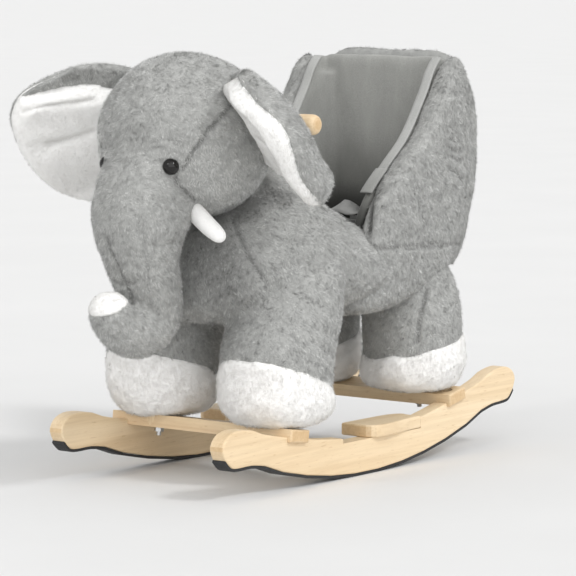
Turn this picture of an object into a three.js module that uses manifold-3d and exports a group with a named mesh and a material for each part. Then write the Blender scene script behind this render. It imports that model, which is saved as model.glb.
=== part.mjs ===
// Rocking elephant: a stuffed elephant with a bucket seat on a wooden rocking base.
// Millimetres, +Z up, the elephant looks along -Y and its left side is +X.
import * as THREE from 'three';
import { mergeVertices } from 'three/addons/utils/BufferGeometryUtils.js';
import Module from 'manifold-3d';

const wasm = await Module();
wasm.setup();

// Clearances
const seatGap = 0.3; // left between pieces that rest on each other
const boreGap = 0.4; // round a bolt, a post or a bar in its hole
const overrun = 5; // how far a cutting tool runs past a face

// Rocking base
const baseWidth = 259; // over the outer faces of the runners
const rockRadius = 676; // of the rolling surface under the grip strips
const tipAngle = 26; // from the middle of a runner to its tip, in degrees
const restLean = 2; // at rest the nose hangs lower, in degrees
const facetAngle = 4; // of one flat of the rolling surface, in degrees
const rollAngle = 18; // where the rolling surface ends, in degrees from the middle
const runnerThickness = 20;
const runnerDepth = 43;
const woodRound = 2; // rounding of the wooden edges
const stripThickness = 3;
const stripEndInset = 2; // how far the strip's width stays inside the runner's faces
const stopRadius = 5;
const stopHeight = 4;
const stopAngle = 21; // of the stop button behind the middle, in degrees

// Crossbars
const crossbarLength = 270;
const crossbarWidth = 34;
const crossbarThickness = 15;
const crossbarAngle = 14.6; // from the middle of the runners, in degrees
const crossbarSlope = 9.5; // against the runner's middle, in degrees
const crossbarInset = 36; // from the rolling surface to the crossbar's underside

// Footrests
const footrestLength = 105;
const footrestWidth = 49;
const footrestThickness = 15;
const footrestOverhang = 8; // past the runner's outer face
const footrestRear = 85; // where the footrest meets the runner's step
const footrestFloor = 42.5; // height of the notch's floor
const footrestCorner = 22;

// Fasteners
const screwHeadRadius = 6.5;
const screwHeadHeight = 3.5;
const screwRadius = 3;
const screwLength = 34;
const screwSink = 5; // depth of the recess over the screw head
const boltRadius = 3;
const boltLength = 62;
const boltTail = 10; // what shows below the crossbar
const nutAcross = 10;
const nutHeight = 5;

// Wooden frame inside the plush
const postRadius = 17;
const postX = 75;
const boardBottom = 246;
const boardThickness = 12;
const boardHalfWidth = 76;
const boardFront = -176;
const boardRear = 204;
const headBoardThickness = 15;
const headBoardFront = -165;
const headBoardRear = -105;
const backBoardHalfWidth = 66;
const backBoardY = 198;
const backBoardTop = 430;

// Handle bar
const handleRadius = 12;
const handleHalfLength = 131;
const handleY = -123;
const handleZ = 417;
const headBoardOverBar = 23; // how far the head board rises over the handle bar's middle
const headBoardTop = handleZ + headBoardOverBar;
const handleEndRound = 7;

// Legs and feet: bottom of the foot, middle of the seam between foot and leg, and the seam's slopes
const footSoleRadius = 54;
const frontFootRadius = 68;
const frontFootBottom = 70;
const frontLegX = 85;
const frontLegY = -143;
const frontLegSeam = 128;
const frontLegRadius = 66;
const frontLegHeight = 138;
const rearFootRadius = 65;
const rearFootBottom = 82;
const rearLegX = 80;
const rearLegY = 140;
const rearLegSeam = 138;
const rearLegRadius = 61;
const rearLegHeight = 116;
// each leg's stations from the seam up: [share of its height, share of its radius, share of its height back]
const frontLegShares = [
  [0, 1, 0],
  [0.203, 0.955, 0.043],
  [0.449, 0.879, 0.145],
  [0.667, 0.848, 0.232],
  [0.884, 0.788, 0.304],
  [1, 0.606, 0.333],
];
const rearLegShares = [
  [0, 1, 0],
  [0.345, 0.984, 0],
  [0.655, 0.918, 0],
  [0.862, 0.803, 0],
  [1, 0.656, 0],
];
const frontLeg = {
  x: frontLegX,
  y: frontLegY,
  bottom: frontFootBottom,
  seam: frontLegSeam,
  footRadius: frontFootRadius,
  slopeAlong: -0.36,
  slopeOut: 0,
  stations: frontLegShares.map(([a, b, c]) => [a * frontLegHeight, b * frontLegRadius, c * frontLegHeight]),
};
const rearLeg = {
  x: rearLegX,
  y: rearLegY,
  bottom: rearFootBottom,
  seam: rearLegSeam,
  footRadius: rearFootRadius,
  slopeAlong: 0.24,
  slopeOut: 0.07,
  stations: rearLegShares.map(([a, b, c]) => [a * rearLegHeight, b * rearLegRadius, c * rearLegHeight]),
};

// Torso
const torsoFront = -214;
const torsoLength = 276;
const torsoHalfWidth = 130;
const torsoBottom = 181;
const torsoHeight = 195;
// stations from the chest to the seat, as shares of these: along, half width, bottom, top, and the narrowing
// of the upper half
const torsoShares = [
  [0, 0.308, 0.179, 0.467, 0],
  [0.022, 0.554, 0.103, 0.579, 0.05],
  [0.08, 0.754, 0.046, 0.713, 0.15],
  [0.178, 0.869, 0.015, 0.841, 0.28],
  [0.304, 0.931, 0.005, 0.944, 0.38],
  [0.449, 0.969, 0, 1, 0.42],
  [0.594, 0.992, 0, 0.892, 0.4],
  [0.721, 1, 0.005, 0.779, 0.24],
  [0.848, 0.992, 0.015, 0.682, 0.08],
  [0.949, 0.938, 0.036, 0.569, 0],
  [1, 0.708, 0.087, 0.477, 0],
];
const torsoStations = torsoShares.map(([along, half, bottom, top, narrowing]) => [
  torsoFront + along * torsoLength,
  half * torsoHalfWidth,
  torsoBottom + bottom * torsoHeight,
  torsoBottom + top * torsoHeight,
  narrowing,
]);
const torsoSquareness = 2.5;

// Head
const headHalfWidth = 100;
const headHalfLength = 106;
const headHalfHeight = 98;
const headY = -202;
const headZ = 403;
const cheekSwell = 8;

// Trunk
const trunkTopY = -250;
const trunkTopZ = 372;
const trunkLength = 188; // from its top down to its lowest place
const trunkHalfWidth = 58;
// stations down its middle, as shares of these: place along Y, drop, half width, half depth
const trunkShares = [
  [0, 0, 0.897, 0.966],
  [-0.117, 0.144, 1, 1.034],
  [-0.176, 0.319, 0.983, 1.034],
  [-0.181, 0.489, 0.828, 0.862],
  [-0.138, 0.649, 0.707, 0.724],
  [-0.074, 0.787, 0.621, 0.638],
  [-0.043, 0.899, 0.552, 0.569],
  [-0.106, 0.979, 0.5, 0.534],
  [-0.25, 1, 0.483, 0.517],
  [-0.383, 0.947, 0.448, 0.483],
  [-0.479, 0.856, 0.414, 0.448],
];
const trunkTipShares = [
  [-0.484, 0.851, 0.414, 0.448],
  [-0.516, 0.819, 0.379, 0.397],
  [-0.537, 0.798, 0.276, 0.293],
];
function trunkPlaces(shares) {
  return shares.map(([along, drop, half, depth]) => [
    trunkTopY + along * trunkLength,
    trunkTopZ - drop * trunkLength,
    half * trunkHalfWidth,
    depth * trunkHalfWidth,
  ]);
}
const trunkStations = trunkPlaces(trunkShares);
const trunkTipStations = trunkPlaces(trunkTipShares);

// Ears: the top of the left ear's root, and root and rim points from the top down, as shares of the span
const earRootX = 60;
const earRootY = -198;
const earRootZ = 474;
const earSpan = 160; // from the top of the rim to its bottom
const earRootShares = [
  [0, 0, 0],
  [0.119, 0.081, -0.212],
  [0.181, 0.144, -0.431],
  [0.2, 0.194, -0.6],
  [0.188, 0.237, -0.738],
];
const earRimShares = [
  [0.375, -0.388, 0.05],
  [0.825, -0.55, -0.225],
  [0.912, -0.425, -0.5],
  [0.894, -0.2, -0.775],
  [0.75, 0.087, -0.95],
];
function earPlaces(shares) {
  return shares.map(([x, y, z]) => [earRootX + x * earSpan, earRootY + y * earSpan, earRootZ + z * earSpan]);
}
const earRoot = earPlaces(earRootShares);
const earRim = earPlaces(earRimShares);
const earBackThickness = 17;
const earLiningThickness = 22;
const earCup = 16;

// Face
const eyeRadius = 9.5;
const eyeX = 52;
const eyeY = -290;
const eyeZ = 374;
const tuskX = 44;
const tuskY = -244;
const tuskZ = 327;
const tuskSplay = 48; // how far the tip stands out, forward and down from the root
const tuskForward = 6;
const tuskDrop = 34;
const tuskRadius = 10;
const tuskTipRadius = 5.5;

// Bucket seat
const seatHalfWidth = 130;
const tubTop = 272;
const tubHeight = 89;
const tubFront = -30;
const tubLength = 249;
// stations from its bottom up, as shares: height, half width of the seat, front, rear
const tubShares = [
  [0, 0.677, 0.064, 0.281],
  [0.056, 0.831, 0.032, 0.386],
  [0.169, 0.908, 0.008, 0.538],
  [0.326, 0.954, 0, 0.707],
  [0.506, 0.977, 0, 0.859],
  [0.685, 0.985, 0, 0.972],
  [0.865, 0.969, 0, 1.004],
  [1, 0.954, 0, 1.008],
];
const tubStations = tubShares.map(([rise, half, front, rear]) => [
  tubTop - (1 - rise) * tubHeight,
  half * seatHalfWidth,
  tubFront + front * tubLength,
  tubFront + rear * tubLength,
]);
const tubSquareness = 3.8;
const wingThickness = 34;
const wingFront = -6;
const wingLength = 213;
const wingDrop = 50; // from the tub's top down to the wing's lowest place
const wingTop = 492;
// the wing's outline in the side view, from the front corner over the top to the rear: shares of its length
// and height
const wingShares = [
  [0, 0.148],
  [0.038, 0.274],
  [0.15, 0.4],
  [0.31, 0.519],
  [0.516, 0.659],
  [0.685, 0.83],
  [0.779, 0.948],
  [0.873, 1],
  [0.958, 0.919],
  [1, 0.741],
  [1, 0.533],
  [0.953, 0.333],
  [0.901, 0.17],
  [0.779, 0.052],
  [0.451, 0],
  [0.085, 0.052],
];
const wingOutline = wingShares.map(([along, rise]) => [
  wingFront + along * wingLength,
  tubTop - wingDrop + rise * (wingTop - tubTop + wingDrop),
]);
const backFront = 188;
const backRear = 231;
const backTop = 498;
const backDrop = 8; // from the tub's top down to the back's underside
// the back from its bottom up, as shares: height, half width of the seat, front, rear
const backShares = [
  [0, 0.915, 0.023, 0.651],
  [0.111, 0.938, 0, 0.721],
  [0.325, 0.954, 0, 0.93],
  [0.581, 0.954, 0, 1],
  [0.778, 0.9, 0.023, 0.907],
  [0.897, 0.823, 0.07, 0.744],
  [0.966, 0.708, 0.163, 0.581],
  [1, 0.546, 0.256, 0.465],
];
const backStations = backShares.map(([rise, half, front, rear]) => [
  tubTop - backDrop + rise * (backTop - tubTop + backDrop),
  half * seatHalfWidth,
  backFront + front * (backRear - backFront),
  backFront + rear * (backRear - backFront),
]);
const backSquareness = 3;
const liningThickness = 7;
const liningCorner = 48;
const liningInset = 6; // the lining ends this far inside the wing's outline
const cushionThickness = 14;

// Belt
const beltWidth = 25;
const beltThickness = 2;
const beltRise = 36; // of its root over the tub
// the left strap's middle line, from the wing to the lap in the middle: share of the seat's inner half width,
// of the seat's length, and of the rise
const beltShares = [
  [0.99, 0.27, 1],
  [0.792, 0.36, 0.778],
  [0.521, 0.47, 0.556],
  [0.229, 0.58, 0.5],
  [-0.292, 0.62, 0.5],
];

// Tail
const tailRadius = 9;
const tailLength = 90;
const tailRootZ = 262;

// Colours
const wood = new THREE.MeshStandardMaterial({ color: 0xe3c795, roughness: 0.5 });
const plywood = new THREE.MeshStandardMaterial({ color: 0xcfae7a, roughness: 0.7 });
const rubber = new THREE.MeshStandardMaterial({ color: 0x1d1d1f, roughness: 0.75 });
const steel = new THREE.MeshStandardMaterial({ color: 0xb9bcc0, roughness: 0.3, metalness: 1 });
const greyPlush = new THREE.MeshStandardMaterial({ color: 0xa2a39f, roughness: 0.95 });
const whiteFleece = new THREE.MeshStandardMaterial({ color: 0xf0efea, roughness: 0.95 });
const greyLining = new THREE.MeshStandardMaterial({ color: 0x84847f, roughness: 0.8 });
const satin = new THREE.MeshStandardMaterial({ color: 0x8e8f8c, roughness: 0.4 });
const gloss = new THREE.MeshStandardMaterial({ color: 0x0b0b0c, roughness: 0.08 });

// Solid helpers
function geometryVolume(positions, index) {
  let six = 0;
  const a = new THREE.Vector3();
  const b = new THREE.Vector3();
  const c = new THREE.Vector3();
  for (let i = 0; i < index.length; i += 3) {
    a.fromArray(positions, index[i] * 3);
    b.fromArray(positions, index[i + 1] * 3);
    c.fromArray(positions, index[i + 2] * 3);
    six += a.dot(b.cross(c));
  }
  return six / 6;
}

// a three.js geometry as a solid, its faces turned outwards
function solidOf(geometry) {
  const bare = geometry.index ? geometry.clone() : geometry.clone();
  bare.deleteAttribute('normal');
  bare.deleteAttribute('uv');
  const merged = mergeVertices(bare, 1e-4);
  const positions = merged.attributes.position.array;
  const index = Uint32Array.from(merged.index.array);
  if (geometryVolume(positions, index) < 0) {
    for (let i = 0; i < index.length; i += 3) {
      const swapped = index[i];
      index[i] = index[i + 1];
      index[i + 1] = swapped;
    }
  }
  const mesh = new wasm.Mesh({ numProp: 3, vertProperties: Float32Array.from(positions), triVerts: index });
  return new wasm.Manifold(mesh);
}

// the largest body of a solid, without slivers that a cut leaves
function largestBody(solid) {
  let best = null;
  for (const body of solid.decompose()) {
    if (!best || body.volume() > best.volume()) {
      best = body;
    }
  }
  return best;
}

function geometryOf(solid) {
  const mesh = largestBody(solid).getMesh();
  const geometry = new THREE.BufferGeometry();
  geometry.setAttribute('position', new THREE.BufferAttribute(mesh.vertProperties, 3));
  geometry.setIndex(new THREE.BufferAttribute(mesh.triVerts, 1));
  geometry.computeVertexNormals();
  return geometry;
}

function cutAll(solid, tools) {
  return tools.reduce((left, tool) => left.subtract(tool), solid);
}

const model = new THREE.Group();

function addPiece(name, solid, material) {
  const mesh = new THREE.Mesh(geometryOf(solid), material);
  mesh.name = name;
  model.add(mesh);
}

// Profiles drawn in the side view (along Y, height) and given a width along X
const sideView = new THREE.Matrix4().makeBasis(
  new THREE.Vector3(0, 1, 0),
  new THREE.Vector3(0, 0, 1),
  new THREE.Vector3(1, 0, 0),
);

function extrudeAcross(points, width, centreX, round) {
  const shape = new THREE.Shape(points.map(([y, z]) => new THREE.Vector2(y, z)));
  const geometry = new THREE.ExtrudeGeometry(shape, {
    depth: width - 2 * round,
    bevelEnabled: round > 0,
    bevelThickness: round,
    bevelSize: round,
    bevelOffset: -round,
    bevelSegments: 2,
    curveSegments: 6,
  });
  geometry.applyMatrix4(sideView);
  geometry.translate(centreX - width / 2 + round, 0, 0);
  return solidOf(geometry);
}

// Outlines drawn from above and given a height
function extrudeUp(shape, height, bottom, round) {
  const geometry = new THREE.ExtrudeGeometry(shape, {
    depth: height - 2 * round,
    bevelEnabled: round > 0,
    bevelThickness: round,
    bevelSize: round,
    bevelOffset: -round,
    bevelSegments: 2,
    curveSegments: 5,
  });
  geometry.translate(0, 0, bottom + round);
  return solidOf(geometry);
}

function boxBetween(low, high) {
  const size = high.map((value, axis) => value - low[axis]);
  const geometry = new THREE.BoxGeometry(size[0], size[1], size[2]);
  geometry.translate((low[0] + high[0]) / 2, (low[1] + high[1]) / 2, (low[2] + high[2]) / 2);
  return solidOf(geometry);
}

// a turned piece from its radius and height pairs, standing at a place, its axis tilted about X
function turned(profile, sides, place, tilt = 0) {
  const points = profile.map(([radius, height]) => new THREE.Vector2(radius, height));
  const geometry = new THREE.LatheGeometry(points, sides);
  geometry.rotateX(Math.PI / 2 + tilt);
  geometry.translate(place[0], place[1], place[2]);
  return solidOf(geometry);
}

function rod(radius, from, to, sides = 16) {
  const start = new THREE.Vector3(...from);
  const end = new THREE.Vector3(...to);
  const along = end.clone().sub(start);
  const geometry = new THREE.CylinderGeometry(radius, radius, along.length(), sides);
  geometry.rotateX(Math.PI / 2);
  geometry.lookAt(along);
  const middle = start.add(end).multiplyScalar(1 / 2);
  geometry.translate(middle.x, middle.y, middle.z);
  return solidOf(geometry);
}

// a soft form through rings of points, closed at both ends
function softForm(rings) {
  const sides = rings[0].length;
  const positions = [];
  const index = [];
  for (const ring of rings) {
    for (const point of ring) {
      positions.push(point.x, point.y, point.z);
    }
  }
  for (let r = 0; r + 1 < rings.length; r += 1) {
    for (let s = 0; s < sides; s += 1) {
      const a = r * sides + s;
      const b = r * sides + ((s + 1) % sides);
      index.push(a, b, a + sides, b, b + sides, a + sides);
    }
  }
  for (const [first, turn] of [[0, 1], [(rings.length - 1) * sides, -1]]) {
    const centre = new THREE.Vector3();
    for (let s = 0; s < sides; s += 1) {
      centre.add(new THREE.Vector3().fromArray(positions, (first + s) * 3));
    }
    centre.multiplyScalar(1 / sides);
    const middle = positions.length / 3;
    positions.push(centre.x, centre.y, centre.z);
    for (let s = 0; s < sides; s += 1) {
      const a = first + s;
      const b = first + ((s + 1) % sides);
      if (turn > 0) {
        index.push(b, a, middle);
      } else {
        index.push(a, b, middle);
      }
    }
  }
  const geometry = new THREE.BufferGeometry();
  geometry.setAttribute('position', new THREE.BufferAttribute(Float32Array.from(positions), 3));
  geometry.setIndex(index);
  return solidOf(geometry);
}

// a stuffed flap between two grids of points, closed along its four edges
function flap(front, back) {
  const rows = front.length;
  const columns = front[0].length;
  const positions = [];
  for (const grid of [front, back]) {
    for (const point of grid.flat()) {
      positions.push(point.x, point.y, point.z);
    }
  }
  const index = [];
  const quad = (a, b, c, d) => index.push(a, b, c, a, c, d);
  const at = (i, j) => i * columns + j;
  const behind = rows * columns;
  for (let i = 0; i + 1 < rows; i += 1) {
    for (let j = 0; j + 1 < columns; j += 1) {
      quad(at(i, j), at(i, j + 1), at(i + 1, j + 1), at(i + 1, j));
      quad(behind + at(i, j), behind + at(i + 1, j), behind + at(i + 1, j + 1), behind + at(i, j + 1));
    }
  }
  for (let i = 0; i + 1 < rows; i += 1) {
    const last = columns - 1;
    quad(at(i, 0), at(i + 1, 0), behind + at(i + 1, 0), behind + at(i, 0));
    quad(at(i + 1, last), at(i, last), behind + at(i, last), behind + at(i + 1, last));
  }
  for (let j = 0; j + 1 < columns; j += 1) {
    const last = rows - 1;
    quad(at(0, j + 1), at(0, j), behind + at(0, j), behind + at(0, j + 1));
    quad(at(last, j), at(last, j + 1), behind + at(last, j + 1), behind + at(last, j));
  }
  const geometry = new THREE.BufferGeometry();
  geometry.setAttribute('position', new THREE.BufferAttribute(Float32Array.from(positions), 3));
  geometry.setIndex(index);
  return solidOf(geometry);
}

// an ellipse of points round a centre, in the plane of two unit directions
function ellipseRing(centre, across, along, halfAcross, halfAlong, sides) {
  const ring = [];
  for (let s = 0; s < sides; s += 1) {
    const angle = (2 * Math.PI * s) / sides;
    ring.push(
      centre
        .clone()
        .addScaledVector(across, halfAcross * Math.cos(angle))
        .addScaledVector(along, halfAlong * Math.sin(angle)),
    );
  }
  return ring;
}

// a stuffed limb through stations in the plane X = x: [along Y, height, half width, half depth]
function limb(stations, x, grow, sides, steps, roundEnds) {
  const curve = new THREE.CatmullRomCurve3(stations.map(([y, z]) => new THREE.Vector3(0, y, z)));
  const sizes = new THREE.CatmullRomCurve3(stations.map(([, , a, b]) => new THREE.Vector3(a, b, 0)));
  const across = new THREE.Vector3(1, 0, 0);
  const rings = [];
  for (let i = 0; i <= steps; i += 1) {
    const t = i / steps;
    const centre = curve.getPoint(t);
    centre.x = x;
    const tangent = curve.getTangent(t);
    const along = new THREE.Vector3().crossVectors(across, tangent).normalize();
    const size = sizes.getPoint(t);
    if (i === 0 && roundEnds[0]) {
      const back = centre.clone().addScaledVector(tangent, -size.y / 3);
      rings.push(ellipseRing(back, across, along, size.x / 2 + grow, size.y / 2 + grow, sides));
    }
    rings.push(ellipseRing(centre, across, along, size.x + grow, size.y + grow, sides));
    if (i === steps && roundEnds[1]) {
      const ahead = centre.clone().addScaledVector(tangent, size.y / 3);
      rings.push(ellipseRing(ahead, across, along, size.x / 2 + grow, size.y / 2 + grow, sides));
    }
  }
  return softForm(rings);
}

// a standing stuffed form through level stations: [height, radius], its axis leaning from low to high
function column(stations, x, y, leanX, leanY, grow, sides) {
  const across = new THREE.Vector3(1, 0, 0);
  const along = new THREE.Vector3(0, 1, 0);
  const low = stations[0][0];
  const high = stations[stations.length - 1][0];
  const rings = stations.map(([z, radius]) => {
    const share = (z - low) / (high - low);
    const centre = new THREE.Vector3(x + leanX * share, y + leanY * share, z);
    return ellipseRing(centre, across, along, radius + grow, radius + grow, sides);
  });
  return softForm(rings);
}

// a swollen form: an ellipsoid with a chosen squareness, its points moved by a shaping function
function swollen(centre, half, grow, sides, rows, shaping) {
  const geometry = new THREE.SphereGeometry(1, sides, rows);
  geometry.rotateX(Math.PI / 2);
  const position = geometry.attributes.position;
  const point = new THREE.Vector3();
  for (let i = 0; i < position.count; i += 1) {
    point.fromBufferAttribute(position, i);
    const unit = point.clone();
    point.set(unit.x * (half[0] + grow), unit.y * (half[1] + grow), unit.z * (half[2] + grow));
    if (shaping) {
      shaping(point, unit);
    }
    position.setXYZ(i, point.x + centre[0], point.y + centre[1], point.z + centre[2]);
  }
  return solidOf(geometry);
}

// Rolling surface: a place by its angle from the runner's middle and its inset from the rolling radius
const radians = Math.PI / 180;
const arcCentreY = -rockRadius * Math.sin(restLean * radians);

function onRunner(angle, inset) {
  const turn = (angle + restLean) * radians;
  const radius = rockRadius - inset;
  return [arcCentreY + radius * Math.sin(turn), rockRadius - radius * Math.cos(turn)];
}

// Runner outline: shares of the tip angle and of the runner's depth, round one tip from below to above
const tipUndersideShares = [[0.73, 0.04], [0.81, -0.06], [0.885, -0.26], [0.925, -0.32]];
const tipEndShares = [[0.968, -0.21], [1, 0], [0.998, 0.28], [0.972, 0.52], [0.925, 0.7]];
const tipTopShares = [[0.85, 0.83], [0.77, 0.84], [0.62, 0.93], [0.46, 0.98], [0.31, 1], [0.15, 1], [0, 1]];
const tipCurveSteps = 26;
const undersideSteps = 12;

function runnerPlace(side, [angleShare, insetShare], offset) {
  return onRunner(side * angleShare * tipAngle, offset + insetShare * runnerDepth);
}

function smooth(points, steps) {
  const curve = new THREE.SplineCurve(points.map(([y, z]) => new THREE.Vector2(y, z)));
  return curve.getPoints(steps).map((point) => [point.x, point.y]);
}

// the rolling flats between the two bulged tips, front to rear, at an inset from the rolling radius
function rollingFlats(inset) {
  const points = [];
  const most = Math.ceil(rollAngle / facetAngle) + 1;
  for (let k = -most; k <= most; k += 1) {
    const angle = (k + 1 / 2) * facetAngle - restLean;
    if (Math.abs(angle) <= rollAngle) {
      points.push(onRunner(angle, inset));
    }
  }
  return points;
}

// the whole underside from the front tip to the rear tip
function underside(offset) {
  const shares = [...tipUndersideShares, tipEndShares[0]];
  const rear = smooth(shares.map((pair) => runnerPlace(1, pair, offset)), undersideSteps);
  const front = smooth(shares.map((pair) => runnerPlace(-1, pair, offset)), undersideSteps).reverse();
  return [...front, ...rollingFlats(offset), ...rear];
}

function runnerOutline() {
  const inset = stripThickness + seatGap;
  const upper = [...tipEndShares, ...tipTopShares];
  const rear = smooth(upper.map((pair) => runnerPlace(1, pair, inset)), tipCurveSteps);
  const front = smooth(upper.map((pair) => runnerPlace(-1, pair, inset)), tipCurveSteps).reverse();
  return [...underside(inset), ...rear.slice(1, -1), ...front.slice(0, -1)];
}

const runnerX = baseWidth / 2 - runnerThickness / 2;

// Crossbars: their underside middle and slope in the side view
function crossbarPlace(side) {
  const [y, z] = onRunner(side * crossbarAngle, crossbarInset + stripThickness + seatGap);
  return { y, z, slope: (restLean + side * crossbarSlope) * radians };
}

function crossbarProfile({ y, z, slope }, grow) {
  const half = crossbarWidth / 2 + grow;
  const corners = [[-half, -grow], [half, -grow], [half, crossbarThickness + grow], [-half, crossbarThickness + grow]];
  return corners.map(([a, b]) => [
    y + a * Math.cos(slope) - b * Math.sin(slope),
    z + a * Math.sin(slope) + b * Math.cos(slope),
  ]);
}

// a place on a crossbar's middle line, raised over its underside
function overCrossbar(bar, x, rise) {
  return [x, bar.y - rise * Math.sin(bar.slope), bar.z + rise * Math.cos(bar.slope)];
}

const bars = { front: crossbarPlace(-1), rear: crossbarPlace(1) };
const sides = { left: 1, right: -1 };

// Screws of the crossbars, from the recess on top down into the runner
const screwTop = crossbarThickness - screwSink;
function screwProfile(grow) {
  return [
    [0, screwTop - screwLength - grow],
    [screwRadius + grow, screwTop - screwLength - grow],
    [screwRadius + grow, screwTop - screwHeadHeight - grow],
    [screwHeadRadius + grow, screwTop - grow],
    [screwHeadRadius + grow, screwTop + grow],
    [0, screwTop + grow],
  ];
}

function crossbarScrew(bar, x, grow) {
  return turned(screwProfile(grow), 12, [x, bar.y, bar.z], bar.slope);
}

function screwRecess(bar, x) {
  return rod(screwHeadRadius + boreGap, overCrossbar(bar, x, screwTop), overCrossbar(bar, x, crossbarThickness + overrun), 12);
}

function legBoltSpan(bar, x) {
  return [overCrossbar(bar, x, -boltTail), overCrossbar(bar, x, boltLength - boltTail)];
}

function addCrossbar(end) {
  const bar = bars[end];
  const tools = [];
  for (const side of Object.values(sides)) {
    tools.push(crossbarScrew(bar, side * runnerX, boreGap));
    tools.push(screwRecess(bar, side * runnerX));
    tools.push(rod(boltRadius + boreGap, ...legBoltSpan(bar, side * postX), 12));
  }
  const board = extrudeAcross(crossbarProfile(bar, 0), crossbarLength, 0, woodRound);
  addPiece(`${end}_crossbar`, cutAll(board, tools), wood);
}

// Footrests
const footrestBottom = footrestFloor + seatGap;
const footrestFront = footrestRear - footrestLength;
function footrestShape(side) {
  const inner = baseWidth / 2 + footrestOverhang - footrestWidth;
  const flush = baseWidth / 2;
  const outer = flush + footrestOverhang;
  const shape = new THREE.Shape();
  shape.moveTo(side * inner, footrestFront);
  shape.lineTo(side * (outer - footrestCorner), footrestFront);
  shape.quadraticCurveTo(side * outer, footrestFront, side * outer, footrestFront + footrestCorner);
  shape.bezierCurveTo(
    side * outer, footrestFront + footrestLength / 2,
    side * flush, footrestRear - footrestLength / 3,
    side * flush, footrestRear - seatGap,
  );
  shape.lineTo(side * (flush - runnerThickness), footrestRear - seatGap);
  shape.bezierCurveTo(
    side * (flush - runnerThickness - footrestOverhang), footrestRear + footrestOverhang,
    side * inner, footrestRear,
    side * inner, footrestRear - footrestLength / 3,
  );
  shape.closePath();
  return shape;
}

for (const [name, side] of Object.entries(sides)) {
  const x = side * runnerX;
  const runner = extrudeAcross(runnerOutline(), runnerThickness, x, woodRound);
  const notch = boxBetween(
    [x - runnerThickness, footrestFront - footrestLength / 2, footrestFloor],
    [x + runnerThickness, footrestRear, rockRadius / 2],
  );
  const tools = [notch];
  for (const bar of Object.values(bars)) {
    tools.push(extrudeAcross(crossbarProfile(bar, seatGap), runnerThickness * 2, x, 0));
    tools.push(crossbarScrew(bar, x, boreGap));
  }
  addPiece(`runner_${name}`, cutAll(runner, tools), wood);

  const outer = underside(0);
  const inner = underside(stripThickness).reverse();
  addPiece(`grip_strip_${name}`, extrudeAcross([...outer, ...inner], runnerThickness - stripEndInset, x, 0), rubber);

  const [stopY, stopZ] = onRunner(stopAngle, 0);
  const stop = turned(
    [[0, -stopHeight], [stopRadius * 0.7, -stopHeight], [stopRadius, -stopHeight / 2], [stopRadius, stopHeight], [0, stopHeight]],
    12,
    [x, stopY, stopZ],
    (stopAngle + restLean) * radians,
  );
  const strip = extrudeAcross([...underside(-seatGap), ...underside(runnerDepth / 2).reverse()], runnerThickness, x, 0);
  addPiece(`stop_button_${name}`, stop.subtract(strip), rubber);

  const rest = extrudeUp(footrestShape(side), footrestThickness, footrestBottom, woodRound);
  addPiece(`footrest_${name}`, rest, wood);
}

addCrossbar('front');
addCrossbar('rear');

for (const [end, bar] of Object.entries(bars)) {
  for (const [name, side] of Object.entries(sides)) {
    addPiece(`crossbar_screw_${end}_${name}`, crossbarScrew(bar, side * runnerX, 0), steel);
    const span = legBoltSpan(bar, side * postX);
    addPiece(`leg_bolt_${end}_${name}`, rod(boltRadius, ...span, 12), steel);
    const nut = rod(
      nutAcross / Math.sqrt(3),
      overCrossbar(bar, side * postX, -seatGap - nutHeight),
      overCrossbar(bar, side * postX, -seatGap),
      6,
    );
    addPiece(`leg_nut_${end}_${name}`, nut.subtract(rod(boltRadius + boreGap, ...span, 12)), steel);
  }
}

// Wooden frame inside the plush
const barSpace = Object.values(bars).map((bar) =>
  extrudeAcross(crossbarProfile(bar, seatGap), crossbarLength + overrun, 0, 0),
);
const boardTop = boardBottom + boardThickness;

function seatBoard(grow) {
  return boxBetween(
    [-boardHalfWidth - grow, boardFront - grow, boardBottom - grow],
    [boardHalfWidth + grow, boardRear + grow, boardTop + grow],
  );
}

function headBoard(grow) {
  const points = [
    [headBoardFront - grow, boardTop + seatGap - grow],
    [headBoardRear + grow, boardTop + seatGap - grow],
    [headBoardRear + grow, headBoardTop - headBoardThickness],
    [headBoardRear - headBoardThickness, headBoardTop + grow],
    [headBoardFront + headBoardThickness, headBoardTop + grow],
    [headBoardFront - grow, headBoardTop - headBoardThickness],
  ];
  return extrudeAcross(points, headBoardThickness + 2 * grow, 0, 0);
}

function backBoard(grow) {
  return boxBetween(
    [-backBoardHalfWidth - grow, backBoardY - boardThickness / 2 - grow, boardTop + seatGap - grow],
    [backBoardHalfWidth + grow, backBoardY + boardThickness / 2 + grow, backBoardTop + grow],
  );
}

function handleBar(grow) {
  const points = [];
  const end = handleHalfLength + grow;
  const round = handleEndRound;
  points.push([0, -end], [handleRadius - round / 2 + grow, -end + round / 3], [handleRadius + grow, -end + round]);
  points.push([handleRadius + grow, end - round], [handleRadius - round / 2 + grow, end - round / 3], [0, end]);
  const geometry = new THREE.LatheGeometry(points.map(([r, h]) => new THREE.Vector2(r, h)), 20);
  geometry.rotateZ(Math.PI / 2);
  geometry.translate(0, handleY, handleZ);
  return solidOf(geometry);
}

function legPost(bar, side, grow) {
  const y = bar.y;
  return rod(postRadius + grow, [side * postX, y, bar.z - grow], [side * postX, y, boardBottom - seatGap + grow], 20);
}

const posts = [];
for (const [end, bar] of Object.entries(bars)) {
  for (const [name, side] of Object.entries(sides)) {
    posts.push(legPost(bar, side, seatGap));
    const bolt = rod(boltRadius + boreGap, ...legBoltSpan(bar, side * postX), 12);
    addPiece(`leg_post_${end}_${name}`, cutAll(legPost(bar, side, 0), [...barSpace, bolt]), wood);
  }
}
addPiece('seat_board', seatBoard(0), plywood);
addPiece('head_board', headBoard(0).subtract(handleBar(seatGap)), plywood);
addPiece('back_board', backBoard(0), plywood);
addPiece('handle_bar', handleBar(0), wood);

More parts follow.
